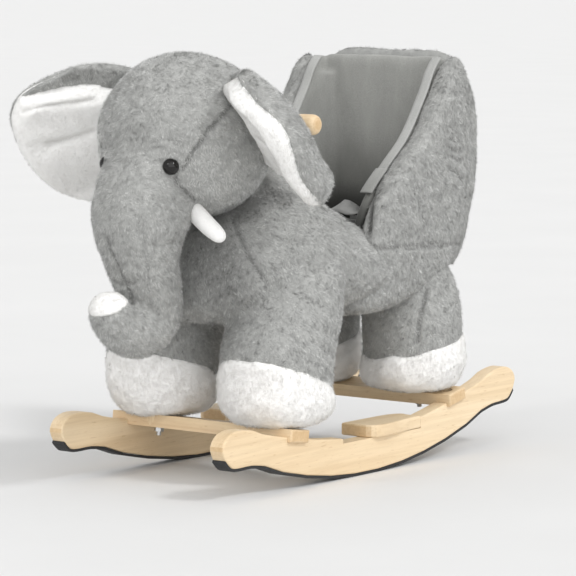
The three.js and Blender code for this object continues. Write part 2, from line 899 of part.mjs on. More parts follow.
// Torso
// a point of a squarish ring: 1 for a diamond, 2 for a circle, more for a box
function squarish(angle, squareness) {
  const cos = Math.cos(angle);
  const sin = Math.sin(angle);
  return [
    Math.sign(cos) * Math.abs(cos) ** (2 / squareness),
    Math.sign(sin) * Math.abs(sin) ** (2 / squareness),
  ];
}

function torso(grow) {
  const around = 26;
  const rings = torsoStations.map(([y, half, bottom, top, narrowing], k) => {
    const end = k === 0 ? -grow : Number(k === torsoStations.length - 1) * grow;
    const ring = [];
    for (let s = 0; s < around; s += 1) {
      const [u, v] = squarish((2 * Math.PI * s) / around, torsoSquareness);
      ring.push(
        new THREE.Vector3(
          u * (half + grow) * (1 - narrowing * Math.max(0, v)),
          y + end,
          (bottom + top) / 2 + v * ((top - bottom) / 2 + grow),
        ),
      );
    }
    return ring;
  });
  return softForm(rings);
}

const frame = (grow) => [seatBoard(grow), headBoard(grow), backBoard(grow), handleBar(grow)];
addPiece('torso', cutAll(torso(0), [...frame(seatGap), ...posts]), greyPlush);

// Head
function head(grow) {
  return swollen([0, headY, headZ], [headHalfWidth, headHalfLength, headHalfHeight], grow, 24, 16, (point, unit) => {
    const low = Math.max(0, -unit.z);
    point.x += Math.sign(unit.x) * cheekSwell * low * Math.abs(unit.x);
  });
}
addPiece('head', cutAll(head(0), [torso(seatGap), ...frame(seatGap)]), greyPlush);

// Trunk
function trunk(grow) {
  return limb(trunkStations, 0, grow, 16, 16, [true, false]);
}
addPiece('trunk', cutAll(trunk(0), [head(seatGap), torso(seatGap)]), greyPlush);
addPiece('trunk_tip', limb(trunkTipStations, 0, 0, 16, 3, [false, true]).subtract(trunk(seatGap)), whiteFleece);

// Ears: a grey outer flap and a white lining, cupped towards the front
const earOut = [0, 0.22, 0.45, 0.68, 0.86, 0.96, 1];
const earRounding = [1, 1, 1, 1, 0.88, 0.6, 0.22];

function earLayer(side, low, high) {
  const root = new THREE.CatmullRomCurve3(earRoot.map(([x, y, z]) => new THREE.Vector3(side * x, y, z)));
  const rim = new THREE.CatmullRomCurve3(earRim.map(([x, y, z]) => new THREE.Vector3(side * x, y, z)));
  const around = 12;
  const sheet = (lift) => {
    const rows = [];
    for (let i = 0; i <= around; i += 1) {
      const v = (1 - Math.cos((Math.PI * i) / around)) / 2;
      const from = root.getPoint(v);
      const to = rim.getPoint(v);
      const down = root.getTangent(v).add(rim.getTangent(v)).normalize();
      const out = to.clone().sub(from).normalize();
      const normal = new THREE.Vector3().crossVectors(down, out).normalize();
      if (normal.x * side > 0) {
        normal.negate();
      }
      const endRounding = Math.max(0.22, Math.sin((Math.PI * i) / around) ** (1 / 2));
      rows.push(
        earOut.map((u, j) => {
          const cup = -earCup * 4 * u * (1 - u);
          return from
            .clone()
            .lerp(to, u)
            .addScaledVector(normal, cup + lift * earRounding[j] * endRounding);
        }),
      );
    }
    return rows;
  };
  return flap(sheet(high), sheet(low));
}

for (const [name, side] of Object.entries(sides)) {
  const cuts = [head(seatGap), torso(seatGap), ...frame(seatGap)];
  addPiece(`ear_${name}`, cutAll(earLayer(side, -earBackThickness, -seatGap), cuts), greyPlush);
  addPiece(`ear_lining_${name}`, cutAll(earLayer(side, 0, earLiningThickness), [...cuts, trunk(seatGap)]), whiteFleece);

  const eye = swollen([side * eyeX, eyeY, eyeZ], [eyeRadius, eyeRadius, eyeRadius], 0, 16, 10);
  addPiece(`eye_${name}`, cutAll(eye, [head(seatGap), trunk(seatGap)]), gloss);

  const base = new THREE.Vector3(side * tuskX, tuskY, tuskZ);
  const tip = base.clone().add(new THREE.Vector3(side * tuskSplay, -tuskForward, -tuskDrop));
  const direction = tip.clone().sub(base).normalize();
  const across = new THREE.Vector3(0, 1, 0).cross(direction).normalize();
  const along = new THREE.Vector3().crossVectors(direction, across);
  const tuskShares = [[0, 1], [0.3, 1.02], [0.6, 0.95], [0.85, 0.85], [0.95, 0.65], [1, 0.35]];
  const rings = tuskShares.map(([t, share]) => {
    const radius = tuskRadius * share;
    return ellipseRing(base.clone().lerp(tip, t), across, along, radius, radius, 12);
  });
  addPiece(`tusk_${name}`, cutAll(softForm(rings), [head(seatGap), trunk(seatGap)]), whiteFleece);
}

// Bucket seat: tub, wings, back, and the lining inside
// a stuffed form through level squarish rings: [height, half width, front, rear]
function squarishLoft(stations, squareness, grow, around) {
  const rings = stations.map(([z, half, front, rear], k) => {
    const end = k === 0 ? -grow : Number(k === stations.length - 1) * grow;
    const ring = [];
    for (let s = 0; s < around; s += 1) {
      const [u, v] = squarish((2 * Math.PI * s) / around, squareness);
      ring.push(
        new THREE.Vector3(u * (half + grow), (front + rear) / 2 + v * ((rear - front) / 2 + grow), z + end),
      );
    }
    return ring;
  });
  return softForm(rings);
}

function tub(grow) {
  return squarishLoft(tubStations, tubSquareness, grow, 28);
}

// a pillow with an outline in the side view and crowned faces
const pillowLayers = [[-1, 0.62], [-0.78, 0.9], [-0.3, 0.99], [0.3, 0.99], [0.78, 0.9], [1, 0.62]];

function sidePillow(outline, thickness, centreX, grow, steps) {
  const points = outline.map(([y, z]) => new THREE.Vector3(0, y, z));
  const curve = new THREE.CatmullRomCurve3(points, true, 'catmullrom', 0.5);
  const rim = curve.getPoints(steps).slice(0, -1);
  const middle = rim.reduce((sum, p) => sum.add(p), new THREE.Vector3()).multiplyScalar(1 / rim.length);
  const rings = pillowLayers.map(([level, share]) =>
    rim.map((p) => {
      const point = middle.clone().lerp(p, share);
      point.addScaledVector(p.clone().sub(middle).normalize(), grow);
      point.x = centreX + level * (thickness / 2 + grow);
      return point;
    }),
  );
  return softForm(rings);
}

const wingX = seatHalfWidth - wingThickness / 2;
const wingInner = seatHalfWidth - wingThickness;

function wing(side, grow) {
  return sidePillow(wingOutline, wingThickness, side * wingX, grow, 26);
}

function seatBack(grow) {
  return squarishLoft(backStations, backSquareness, grow, 28);
}

addPiece('seat_tub', cutAll(tub(0), [torso(seatGap), ...frame(seatGap), ...posts]), greyPlush);
const wings = Object.values(sides).map((side) => wing(side, seatGap));
addPiece('seat_back', cutAll(seatBack(0), [torso(seatGap), tub(seatGap), ...frame(seatGap)]), greyPlush);
for (const [name, side] of Object.entries(sides)) {
  addPiece(
    `seat_wing_${name}`,
    cutAll(wing(side, 0), [torso(seatGap), tub(seatGap), seatBack(seatGap), ...frame(seatGap)]),
    greyPlush,
  );
}

// the space that the lining encloses, from above
function seatSpace(grow) {
  const half = wingInner - liningThickness + grow;
  const rear = backFront - liningThickness + grow;
  const front = wingOutline[0][0] - wingThickness;
  const shape = new THREE.Shape();
  shape.moveTo(-half, front);
  shape.lineTo(half, front);
  shape.lineTo(half, rear - liningCorner);
  shape.quadraticCurveTo(half, rear, half - liningCorner, rear);
  shape.lineTo(-half + liningCorner, rear);
  shape.quadraticCurveTo(-half, rear, -half, rear - liningCorner);
  shape.closePath();
  return extrudeUp(shape, backTop, tubTop - grow, 0);
}

function seatLining(grow) {
  const rear = backFront - seatGap;
  const front = wingOutline.slice(0, 7).map(([y, z]) => [y + liningInset, z - liningInset]);
  const top = backTop - 2 * liningInset;
  const low = tubTop + seatGap;
  const outline = [[front[0][0], low], ...front.slice(1), [rear, top], [rear, low]];
  return extrudeAcross(outline, 2 * (wingInner - seatGap), 0, 0).subtract(seatSpace(0));
}

const soft = [torso(seatGap), tub(seatGap), seatBack(seatGap), ...wings];
addPiece('seat_lining', cutAll(seatLining(0), [...soft, ...frame(seatGap)]), greyLining);

function seatCushion(grow) {
  const half = wingInner - liningThickness - seatGap;
  const rear = backFront - liningThickness - seatGap;
  const front = wingOutline[0][0];
  const levels = [[0, 0.94], [0.3, 1], [0.7, 0.97], [1, 0.82]];
  const around = 26;
  const rings = levels.map(([level, share]) => {
    const ring = [];
    for (let s = 0; s < around; s += 1) {
      const [u, v] = squarish((2 * Math.PI * s) / around, 4.5);
      ring.push(
        new THREE.Vector3(
          u * (half * share + grow),
          (front + rear) / 2 + v * (((rear - front) / 2) * share + grow),
          tubTop + seatGap + level * (cushionThickness + grow),
        ),
      );
    }
    return ring;
  });
  return softForm(rings);
}
const liningCut = seatLining(0);
addPiece('seat_cushion', cutAll(seatCushion(0).intersect(seatSpace(-seatGap)), soft), greyLining);

// Legs and feet
const footShares = [[0, 0], [0.1, 0.5], [0.28, 0.9], [0.55, 1], [1, 0.92]];

function legRing(spec, side, z, radius, leanY, tiltShare) {
  const ring = [];
  const around = 20;
  for (let s = 0; s < around; s += 1) {
    const angle = (2 * Math.PI * s) / around;
    const out = radius * Math.cos(angle);
    const along = radius * Math.sin(angle);
    const tilt = tiltShare * (spec.slopeAlong * along + spec.slopeOut * out);
    ring.push(new THREE.Vector3(side * (spec.x + out), spec.y + leanY + along, z + tilt));
  }
  return ring;
}

for (const [end, spec] of [['front', frontLeg], ['rear', rearLeg]]) {
  for (const [name, side] of Object.entries(sides)) {
    const cuts = [...barSpace, ...posts, torso(seatGap), tub(seatGap)];
    const footRings = footShares.map(([rise, swell]) =>
      legRing(
        spec,
        side,
        spec.bottom + rise * (spec.seam - spec.bottom),
        footSoleRadius + swell * (spec.footRadius - footSoleRadius),
        0,
        rise,
      ),
    );
    addPiece(`foot_${end}_${name}`, cutAll(softForm(footRings), cuts), whiteFleece);
    const top = spec.stations[spec.stations.length - 1][0];
    const legRings = spec.stations.map(([rise, radius, lean]) =>
      legRing(spec, side, spec.seam + seatGap + rise, radius, lean, 1 - rise / top),
    );
    addPiece(`leg_${end}_${name}`, cutAll(softForm(legRings), [...cuts, ...wings, ...frame(seatGap)]), greyPlush);
  }
}

// Belt: two straps of webbing that lap in the middle of the seat
function strap(side, lift) {
  const path = beltShares.map(([out, along, rise]) => {
    const y = wingFront + along * (backFront - wingFront);
    return new THREE.Vector3(side * out * wingInner, y, tubTop + rise * beltRise + lift);
  });
  const curve = new THREE.CatmullRomCurve3(path);
  const rings = [];
  const steps = 12;
  for (let i = 0; i <= steps; i += 1) {
    const centre = curve.getPoint(i / steps);
    const level = curve.getTangent(i / steps).setZ(0).normalize();
    const across = new THREE.Vector3(-level.y, level.x, 0).multiplyScalar(beltWidth / 2);
    const up = new THREE.Vector3(0, 0, beltThickness / 2);
    rings.push([
      centre.clone().add(across).add(up),
      centre.clone().sub(across).add(up),
      centre.clone().sub(across).sub(up),
      centre.clone().add(across).sub(up),
    ]);
  }
  return softForm(rings);
}
const beltCuts = [...wings, torso(seatGap), seatCushion(seatGap), liningCut];
addPiece('belt_left', cutAll(strap(1, beltThickness + seatGap), beltCuts), satin);
addPiece('belt_right', cutAll(strap(-1, 0), beltCuts), satin);

// Tail behind the seat back
const tailStations = [
  [backRear - 2 * tailRadius, tailRootZ, tailRadius, tailRadius],
  [backRear + tailRadius, tailRootZ - tailLength / 4, tailRadius, tailRadius],
  [backRear + tailRadius, tailRootZ - tailLength * (2 / 3), tailRadius, tailRadius],
  [backRear + tailRadius / 2, tailRootZ - tailLength, tailRadius * 1.4, tailRadius * 1.4],
];
addPiece(
  'tail',
  cutAll(limb(tailStations, 0, 0, 10, 8, [true, true]), [seatBack(seatGap), tub(seatGap)]),
  greyPlush,
);

// The origin lies under the middle of the whole, on the floor
const extent = new THREE.Box3().setFromObject(model);
const middle = extent.getCenter(new THREE.Vector3());
model.position.set(0, -middle.y, -extent.min.z);
const group = new THREE.Group();
group.add(model);
group.updateMatrixWorld(true);

export default group;
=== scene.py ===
import itertools
import math

import bpy
import numpy as np
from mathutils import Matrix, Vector
from mathutils.bvhtree import BVHTree


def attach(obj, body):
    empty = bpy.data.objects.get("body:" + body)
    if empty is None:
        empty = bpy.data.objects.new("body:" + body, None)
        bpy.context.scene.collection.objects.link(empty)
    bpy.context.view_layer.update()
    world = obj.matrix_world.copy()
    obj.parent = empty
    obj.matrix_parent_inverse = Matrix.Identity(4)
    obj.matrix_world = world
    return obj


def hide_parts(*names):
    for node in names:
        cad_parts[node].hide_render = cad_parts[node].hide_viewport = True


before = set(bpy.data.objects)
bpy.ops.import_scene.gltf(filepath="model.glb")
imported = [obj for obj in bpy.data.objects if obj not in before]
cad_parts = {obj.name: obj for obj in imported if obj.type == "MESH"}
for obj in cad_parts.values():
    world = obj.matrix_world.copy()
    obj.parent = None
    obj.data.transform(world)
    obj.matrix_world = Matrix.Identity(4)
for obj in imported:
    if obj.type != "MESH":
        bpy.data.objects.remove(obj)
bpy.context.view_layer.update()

# Forms are written in the model's millimetres. The frame is in metres, and its origin lies this far off.
MM = 0.001
SHIFT = np.array([0.0, 35.64, -0.41])

# The camera of the photograph: its place in the frame's metres, its view, and its image in pixels
CAMERA_PLACE = Vector((2.298, -2.97186, 0.5982))
HEADING, PITCH = math.radians(37.47), math.radians(5.84)
IMAGE_SIDE, FOCAL = 576.0, 3153.2
SENSOR_WIDTH = 36.0
LEVEL = math.cos(PITCH)
FORWARD = Vector((-math.sin(HEADING) * LEVEL, math.cos(HEADING) * LEVEL, -math.sin(PITCH)))
RIGHT = Vector((math.cos(HEADING), math.sin(HEADING), 0.0))
UP = RIGHT.cross(FORWARD)

# Two small lights, which the eyes reflect, and a wide soft one from the front: where from, energy, angle
SUNS = {
    "key": ((0.706, 0.058, 0.708), 0.95, 10),
    "fill": ((-0.178, -0.752, 0.633), 0.3, 9),
    "front": ((0.74, -0.58, 0.34), 1.5, 90),
}
WORLD_STRENGTH = 0.78

# Stations of the torso along Y: half width, underside, top, and how much the top draws in
TORSO = [[-214, 40, 216, 272, 0], [-208, 72, 201, 294, 0.05], [-192, 98, 190, 320, 0.15],
         [-165, 113, 184, 345, 0.28], [-130, 121, 182, 365, 0.38], [-90, 126, 181, 376, 0.42],
         [-50, 129, 181, 350, 0.4], [-15, 130, 182, 324, 0.24], [20, 129, 184, 303, 0.08],
         [48, 122, 188, 284, 0], [62, 92, 198, 270, 0]]
TORSO_SQUARENESS = 2.5
HEAD_MIDDLE, HEAD_HALF = (0, -202, 403), (100, 106, 98)
CHEEK_SWELL = 8
# Stations from the bottom up: height, half width, front, rear
TUB = [[183, 88, -14, 40], [188, 108, -22, 66], [198, 118, -28, 104], [212, 124, -30, 146],
       [228, 127, -30, 184], [244, 128, -30, 212], [260, 126, -30, 220], [272, 124, -30, 221]]
TUB_SQUARENESS = 3.8
BACK = [[230, 106, 178, 199], [250, 113, 182, 207], [280, 119, 185, 214], [310, 122, 187, 221],
        [340, 124, 188, 228], [400, 124, 188, 231], [446, 117, 189, 227], [474, 107, 191, 220],
        [490, 92, 195, 213], [498, 71, 199, 208]]
BACK_SQUARENESS = 3.0
# Lining of the seat, its rounded corner seen from above, and the cushion
BACK_LINING = [[262, 95, 176, 190], [300, 95, 176, 190], [400, 95, 176, 190], [470, 93, 177, 190],
               [488, 84, 181, 190]]
BACK_LINING_SQUARENESS = 9.0
CUSHION = [[272.6, 76, -4, 172], [275, 82, -10, 178], [281, 82, -10, 178], [284, 76, -4, 172]]
CUSHION_SQUARENESS, CUSHION_UNDERSIDE = 5.0, 272.7
# The stitched channels across the cushion
CHANNEL_PLACES, CHANNEL_HALF, CHANNEL_HEIGHT = (35, 105), 78, 287.41
# Outline of a wing in the side view: its front edge from the bottom up, its tip, then its rear edge down
WING = [[-6, 262], [2, 296], [26, 330], [60, 362], [104, 400], [140, 446], [160, 478], [180, 492],
        [197, 470], [205, 422], [204, 366], [194, 315], [182, 282], [171, 254], [154, 236], [90, 222],
        [12, 236]]
WING_FRONT_POINTS = 7
RIM_STEPS = 120
WING_INNER, WING_OUTER = 96, 130
LINING_INNER, LINING_OUTER, LINING_INSET = 85, 97, 5.0
LINING_CORNER = [(97, 128), (97, 189), (40, 189), (52, 184), (66, 176), (77, 165), (84, 150), (86, 136)]
CORNER_SETBACK, CORNER_HEIGHTS = 10, (262, 466)
# What fills the hollow between wing, back and tub
SEAT_CORNER, SEAT_CORNER_HALF = (106, 183, 288), (17, 19, 22)
# Points of the trunk from the face down: Y, height, half width, half depth
TRUNK = [[-250, 372, 52, 56], [-272, 345, 58, 60], [-283, 312, 57, 60], [-284, 280, 48, 50],
         [-276, 250, 41, 42], [-264, 224, 36, 37], [-258, 203, 32, 33], [-270, 188, 29, 31],
         [-297, 184, 28, 30], [-322, 194, 26, 28], [-340, 211, 24, 26]]
TRUNK_TIP = [[-341, 212, 24, 26], [-347, 218, 22, 23], [-351, 222, 16, 17]]
# The white end of the trunk is what lies over a plane through this point that leans forward by this angle,
# in front of CAP_REAR and below CAP_TOP
CAP_POINT, CAP_LEAN = (-339.4, 218.7), 20.0
CAP_REAR, CAP_TOP = -313.0, 246.41
TAIL = [[225, 262, 9, 9], [243, 240, 9, 9], [243, 202, 9, 9], [238.5, 172, 12.6, 12.6]]
# A leg: its middle, how far its top leans inward, heights of its sole and its seam, radius of the foot, and
# the seam's slope along and across. Stations over the seam: rise, radius, how far it leans back.
FRONT_LEG = dict(x=85, inward=0, y=-143, bottom=70, seam=128, foot=68, along=-0.36, out=0.0,
                 stations=[[0, 68, 0], [28, 67, 6], [62, 64, 19], [92, 60, 31], [122, 53, 42], [138, 40, 46]])
REAR_LEG = dict(x=78, inward=14, y=140, bottom=82, seam=138, foot=65, along=0.24, out=0.07,
                stations=[[0, 63, 0], [40, 62, 0], [76, 57, 0], [100, 50, 0], [116, 40, 0]])
FOOT_SOLE = 38
# Root and rim of each ear, left 1 and right -1, from the top down. The left one ends a little higher.
EARS = {
    1: ([[60, -200, 474], [72, -195, 455], [82, -189, 436], [88, -182, 417], [91, -177, 402], [92, -171, 388],
         [92, -165, 375]],
        [[120, -258, 480], [170, -288, 455], [198, -281, 430], [207, -267, 400], [205, -249, 370],
         [203, -224, 347], [194, -197, 332]]),
    -1: ([[60, -198, 474], [77, -187, 448], [87, -179, 424], [91, -172, 402], [92, -166, 382],
          [91, -160, 364], [88, -152, 345]],
         [[118, -262, 482], [170, -288, 455], [200, -282, 428], [207, -266, 396], [203, -240, 360],
          [190, -200, 332], [150, -165, 317]]),
}
# How hollow an ear is, and how far out on it the white face reaches, as a share
EAR_CUP, FACE_EDGE = 13, 0.985
TUSK_ROOT, TUSK_TIP, TUSK_RADIUS, TUSK_BOW = (42.0, -244.0, 325.0), (93.0, -250.0, 292.0), 10.2, 1.5
TUSK_TAPER = [[0, 1.05], [0.3, 1.05], [0.6, 1.0], [0.8, 0.88], [0.9, 0.74], [0.97, 0.48], [1.0, 0.15]]
EYES = {"left": (49.0, -289.0, 374.5), "right": (-47.2, -285.5, 374.0)}
EYE_RADIUS = 9.5
HANDLE_Y, HANDLE_Z = -123, 417
# The turned handle bar from its middle to its end: reach and radius
HANDLE_TURNING = [(0, 12), (60, 12), (121.5, 12), (124.6, 11.7), (127.4, 10.6), (129.4, 8.4), (130.6, 5.5),
                  (131, 1.0)]
# Path of each half of the belt, and how far it is rolled along it, in degrees
BELTS = {
    "left": ([[97, 42, 306], [91, 32, 307], [82, 25, 305], [72, 22, 308], [60, 20, 312], [48, 22, 311],
              [36, 36, 304], [14, 76, 293], [-28, 104, 290]],
             [75, 50, 5, -24, -30, -26, -16, 0, 0]),
    "right": ([[-96, 40, 308], [-76, 60, 300], [-50, 82, 291], [-22, 102, 288], [28, 112, 287.5]],
              [0, -6, 4, 0, 0]),
}
# Section of a band, in half widths and thicknesses: round at its edges and a little hollow
BAND_SECTION = ((1, 0.5), (1, -0.5), (0.5, -0.62), (0, -0.66), (-0.5, -0.62), (-1, -0.5), (-1, 0.5),
                (-0.5, 0.38), (0, 0.34), (0.5, 0.38))

# Lines that the photograph shows, in its pixels
HEAD_SEAM = [(233, 104), (222, 117), (208, 131), (204, 139), (195, 149), (190, 158), (186, 164), (183, 169)]
CHEEK_SEAM = [(177, 172), (177, 180), (183, 188), (193, 198), (198, 203)]
TRUNK_SEAM = [(106, 238), (109, 250), (115, 262), (122, 278), (128, 291), (133, 303)]
# Painted light lightens the pile along the next line; painted shade darkens it under the cheek and at the
# trunk's lower corner
CHEEK_LIGHT = [(203, 158), (212, 172), (222, 182)]
UNDER_CHEEK_SHADE = [(212, 216), (236, 208), (256, 196), (270, 180)]
TRUNK_CORNER_SHADE = [(129, 299), (132, 302), (134, 304)]
BRIDGE = [(125, 163), (113, 185), (106, 205), (105, 222), (106, 238)]
# Wrinkles, drawn in and darkened with painted shade
WRINKLES = (
    [(141, 138), (146, 144), (153, 142), (160, 139), (167, 139), (174, 144), (182, 147)],
    [(148, 148), (156, 147), (164, 148)], [(126, 128), (134, 133), (141, 138)],
    [(118, 162), (124, 160), (134, 161)], [(176, 149), (182, 148)],
    [(153, 196), (160, 200), (168, 201)], [(125, 254), (132, 262), (136, 270)],
    [(138, 256), (146, 262), (150, 268)], [(150, 245), (158, 247), (168, 245), (176, 243)],
)
CHEST_SEAM = [(232, 216), (238, 232), (249, 256), (258, 270), (268, 284)]
# Painted shade darkens the cover and its pile along the shoulder, and under the head on the chest and neck
SHOULDER = [(250, 290), (264, 279), (278, 270), (290, 266), (310, 261), (330, 258), (338, 262)]
CHEST_SHADE = [(204, 232), (212, 250), (222, 272), (232, 292)]
NECK_SHADE = [(212, 222), (236, 214), (256, 202), (268, 191), (280, 196)]
REAR_LEG_SEAM = [(428, 290), (424, 305), (420, 322), (418, 341)]
TUB_SEAM = [(371, 246), (384, 249), (397, 248), (410, 248), (428, 247), (447, 246), (460, 244)]
# Folds of the seat and, below them, the gap at the wing's front edge: drawn in and darkened with painted
# shade
SEAT_FOLDS = (
    [(452, 139), (457, 141), (462, 142)], [(453, 149), (458, 151), (463, 150)],
    [(455, 158), (460, 160), (465, 158)], [(452, 168), (458, 172), (464, 180)],
    [(429, 242), (434, 244), (440, 243)],
)
SEAT_GAP = [(376, 190), (372, 195), (369, 203), (368, 217), (367, 231)]
# Darts on the white face of an ear, drawn in and darkened with painted shade
EAR_DARTS = (
    [(22, 111), (38, 108), (60, 106), (80, 103), (93, 100)],
    [(49, 146), (60, 143), (72, 140), (84, 136), (93, 132)],
)


# Camera and light
def add_camera():
    data = bpy.data.cameras.new("camera")
    data.sensor_width = SENSOR_WIDTH
    data.lens = FOCAL * SENSOR_WIDTH / IMAGE_SIDE
    data.clip_end = 500.0
    camera = link(bpy.data.objects.new("camera", data))
    camera.location = CAMERA_PLACE
    camera.rotation_euler = (math.pi / 2 - PITCH, 0.0, HEADING)
    bpy.context.scene.camera = camera


def add_sun(name, towards, energy, angle):
    data = bpy.data.lights.new(name, "SUN")
    data.energy = energy
    data.angle = math.radians(angle)
    light = link(bpy.data.objects.new(name, data))
    light.location = Vector(towards) * 3.0
    light.rotation_euler = Vector(towards).to_track_quat("Z", "Y").to_euler()


def add_world():
    world = bpy.data.worlds.new("studio")
    bpy.context.scene.world = world
    world.use_nodes = True
    background = world.node_tree.nodes["Background"]
    background.inputs["Color"].default_value = (1.0, 1.0, 1.0, 1.0)
    background.inputs["Strength"].default_value = WORLD_STRENGTH


def link(obj):
    bpy.context.scene.collection.objects.link(obj)
    return obj


add_camera()
for name, (towards, energy, angle) in SUNS.items():
    add_sun(name, towards, energy, angle)
add_world()
bpy.context.scene.view_settings.view_transform = "Standard"
bpy.context.scene.view_settings.look = "None"


# Meshes
def mesh_object(name, verts, faces):
    mesh = bpy.data.meshes.new(name)
    mesh.from_pydata([tuple(v) for v in verts], [], [tuple(int(i) for i in f) for f in faces])
    mesh.update()
    mesh.shade_smooth()
    return link(bpy.data.objects.new(name, mesh))


def array_of(collection, name, width, kind=np.float64):
    out = np.empty(len(collection) * width, kind)
    collection.foreach_get(name, out)
    return out.reshape(-1, width)


def coords(mesh):
    return array_of(mesh.vertices, "co", 3)


def set_coords(mesh, co):
    mesh.vertices.foreach_set("co", np.ascontiguousarray(co, np.float32).ravel())
    mesh.update()


def vertex_normals(mesh):
    return array_of(mesh.vertex_normals, "vector", 3)


def apply_modifiers(obj):
    bpy.context.view_layer.update()
    graph = bpy.context.evaluated_depsgraph_get()
    mesh = bpy.data.meshes.new_from_object(obj.evaluated_get(graph))
    old = obj.data
    obj.modifiers.clear()
    obj.data = mesh
    bpy.data.meshes.remove(old)


def unit(v):
    return v / np.maximum(np.linalg.norm(v, axis=-1, keepdims=True), 1e-12)


def circle(n):
    angle = np.arange(n) * 2 * np.pi / n
    return np.cos(angle), np.sin(angle)


def in_frame(points):
    """From the model's millimetres to the frame's metres."""
    return (np.asarray(points) + SHIFT) * MM


def in_model(co):
    """From the frame's metres to the model's millimetres."""
    return co / MM - SHIFT


def move(obj, amount):
    """Moves the vertices out along their normals by this many millimetres."""
    step = np.broadcast_to(np.asarray(amount, float) * MM, len(obj.data.vertices))
    set_coords(obj.data, coords(obj.data) + vertex_normals(obj.data) * step[:, None])


# Noise that is the same in every run
CELL_FACTORS, SCATTER = np.array([374761393, 668265263, 2147483647]), 1274126177
ALL_BITS, LOW_BITS = 0xFFFFFFFF, 0xFFFFFF
CORNERS = np.array(list(itertools.product((0, 1), repeat=3)))


def lattice(cell, seed):
    """A value from -1 to 1 of each cell's own."""
    x = ((cell.astype(np.int64) * CELL_FACTORS).sum(-1) + seed * SCATTER) & ALL_BITS
    x = ((x ^ (x >> 13)) * SCATTER) & ALL_BITS
    x = x ^ (x >> 16)
    return (x & LOW_BITS) / float(LOW_BITS) * 2.0 - 1.0


def value_noise(points, size, seed):
    """Smooth noise from -1 to 1 at points, with bumps of about this size (in metres)."""
    q = np.asarray(points) / size
    cell = np.floor(q)
    f = q - cell
    f = f * f * (3 - 2 * f)
    total = 0.0
    for corner in CORNERS:
        total = total + np.where(corner, f, 1 - f).prod(1) * lattice(cell + corner, seed)
    return total


# Forms, in the model's millimetres
def soft_form(rings):
    rings = [np.asarray(r, float) for r in rings]
    n = len(rings[0])
    verts = np.vstack(rings)
    faces = []
    for r in range(len(rings) - 1):
        for s in range(n):
            a = r * n + s
            b = r * n + (s + 1) % n
            faces.append((a, b, b + n, a + n))
    top, low = len(verts), len(verts) + 1
    verts = np.vstack([verts, rings[0].mean(0), rings[-1].mean(0)])
    last = (len(rings) - 1) * n
    for s in range(n):
        faces.append((s, top, (s + 1) % n))
        faces.append((last + s, last + (s + 1) % n, low))
    return outward(verts, faces)


def outward(verts, faces):
    volume = 0.0
    for f in faces:
        for k in range(1, len(f) - 1):
            volume += np.dot(verts[f[0]], np.cross(verts[f[k]], verts[f[k + 1]]))
    if volume < 0:
        faces = [tuple(reversed(f)) for f in faces]
    return verts, faces


def spline(points, count):
    """Catmull-Rom through the points, evenly in the parameter."""
    p = np.asarray(points, float)
    p = np.vstack([2 * p[0] - p[1], p, 2 * p[-1] - p[-2]])
    out = []
    spans = len(p) - 3
    for t in np.linspace(0, spans, count):
        i = min(int(t), spans - 1)
        u = t - i
        a, b, c, d = p[i], p[i + 1], p[i + 2], p[i + 3]
        out.append(0.5 * ((2 * b) + (c - a) * u + (2 * a - 5 * b + 4 * c - d) * u * u
                          + (3 * b - a - 3 * c + d) * u ** 3))
    return np.array(out)


def squarish(n, squareness):
    """A unit circle that is drawn out towards a square."""
    c, s = circle(n)
    return np.sign(c) * np.abs(c) ** (2 / squareness), np.sign(s) * np.abs(s) ** (2 / squareness)


def squarish_loft(stations, squareness, around=72, dense=26):
    """A form with stations from the bottom up: height, half width, front and rear."""
    rings = []
    u, v = squarish(around, squareness)
    for z, half, front, rear in spline(stations, dense):
        rings.append(np.stack([u * half, (front + rear) / 2 + v * (rear - front) / 2, np.full(around, z)], 1))
    return soft_form(rings)


def limb(stations, around=48, dense=60, ends=(True, True), bulge=0.45):
    """A round form in the middle of the toy, with rounded ends. bulge is how far these stand out."""
    c, s = circle(around)
    st = spline(stations, dense)
    rings = []
    for i, (y, z, a, b) in enumerate(st):
        before, after = st[max(i - 1, 0)], st[min(i + 1, len(st) - 1)]
        tangent = np.array([0, after[0] - before[0], after[1] - before[1]])
        tangent /= np.linalg.norm(tangent)
        along = np.cross([1, 0, 0], tangent)
        centre = np.array([0, y, z])

        def ring(share, push):
            return (centre + tangent * push + np.outer(c * a * share, [1, 0, 0])
                    + np.outer(s * b * share, along))

        if i == 0 and ends[0]:
            for k in (80, 60, 40, 20):
                rings.append(ring(math.cos(math.radians(k)), -b * bulge * math.sin(math.radians(k))))
        rings.append(ring(1, 0))
        if i == len(st) - 1 and ends[1]:
            for k in (20, 40, 60, 80):
                rings.append(ring(math.cos(math.radians(k)), b * bulge * math.sin(math.radians(k))))
    return soft_form(rings)


def ellipsoid(centre, half, around=72, rows=44, shaping=None):
    c, s = circle(around)
    rings = []
    for r in range(1, rows):
        phi = math.pi * r / rows
        aim = np.stack([np.sin(phi) * c, np.sin(phi) * s, np.full(around, np.cos(phi))], 1)
        point = aim * np.array(half)
        if shaping is not None:
            point = shaping(point, aim)
        rings.append(point + np.array(centre))
    return soft_form(rings)


def torso_form(around=80):
    u, v = squarish(around, TORSO_SQUARENESS)
    rings = []
    for y, half, low, top, narrow in spline(TORSO, 60):
        rings.append(np.stack([u * half * (1 - narrow * np.maximum(0, v)), np.full(around, y),
                               (low + top) / 2 + v * (top - low) / 2], 1))
    return soft_form(rings)


def head_form():
    def shaping(point, aim):
        low = np.maximum(0, -aim[:, 2])
        point[:, 0] += np.sign(aim[:, 0]) * CHEEK_SWELL * low * np.abs(aim[:, 0])
        return point
    return ellipsoid(HEAD_MIDDLE, HEAD_HALF, shaping=shaping)


def leg_ring(leg, side, z, radius, lean, tilt, around=48):
    """A ring about a leg. With tilt 1 it lies as the seam between leg and foot does, with 0 it is level."""
    c, s = circle(around)
    out, along = radius * c, radius * s
    return np.stack([side * (leg["x"] + out), leg["y"] + lean + along,
                     z + tilt * (leg["along"] * along + leg["out"] * out)], 1)


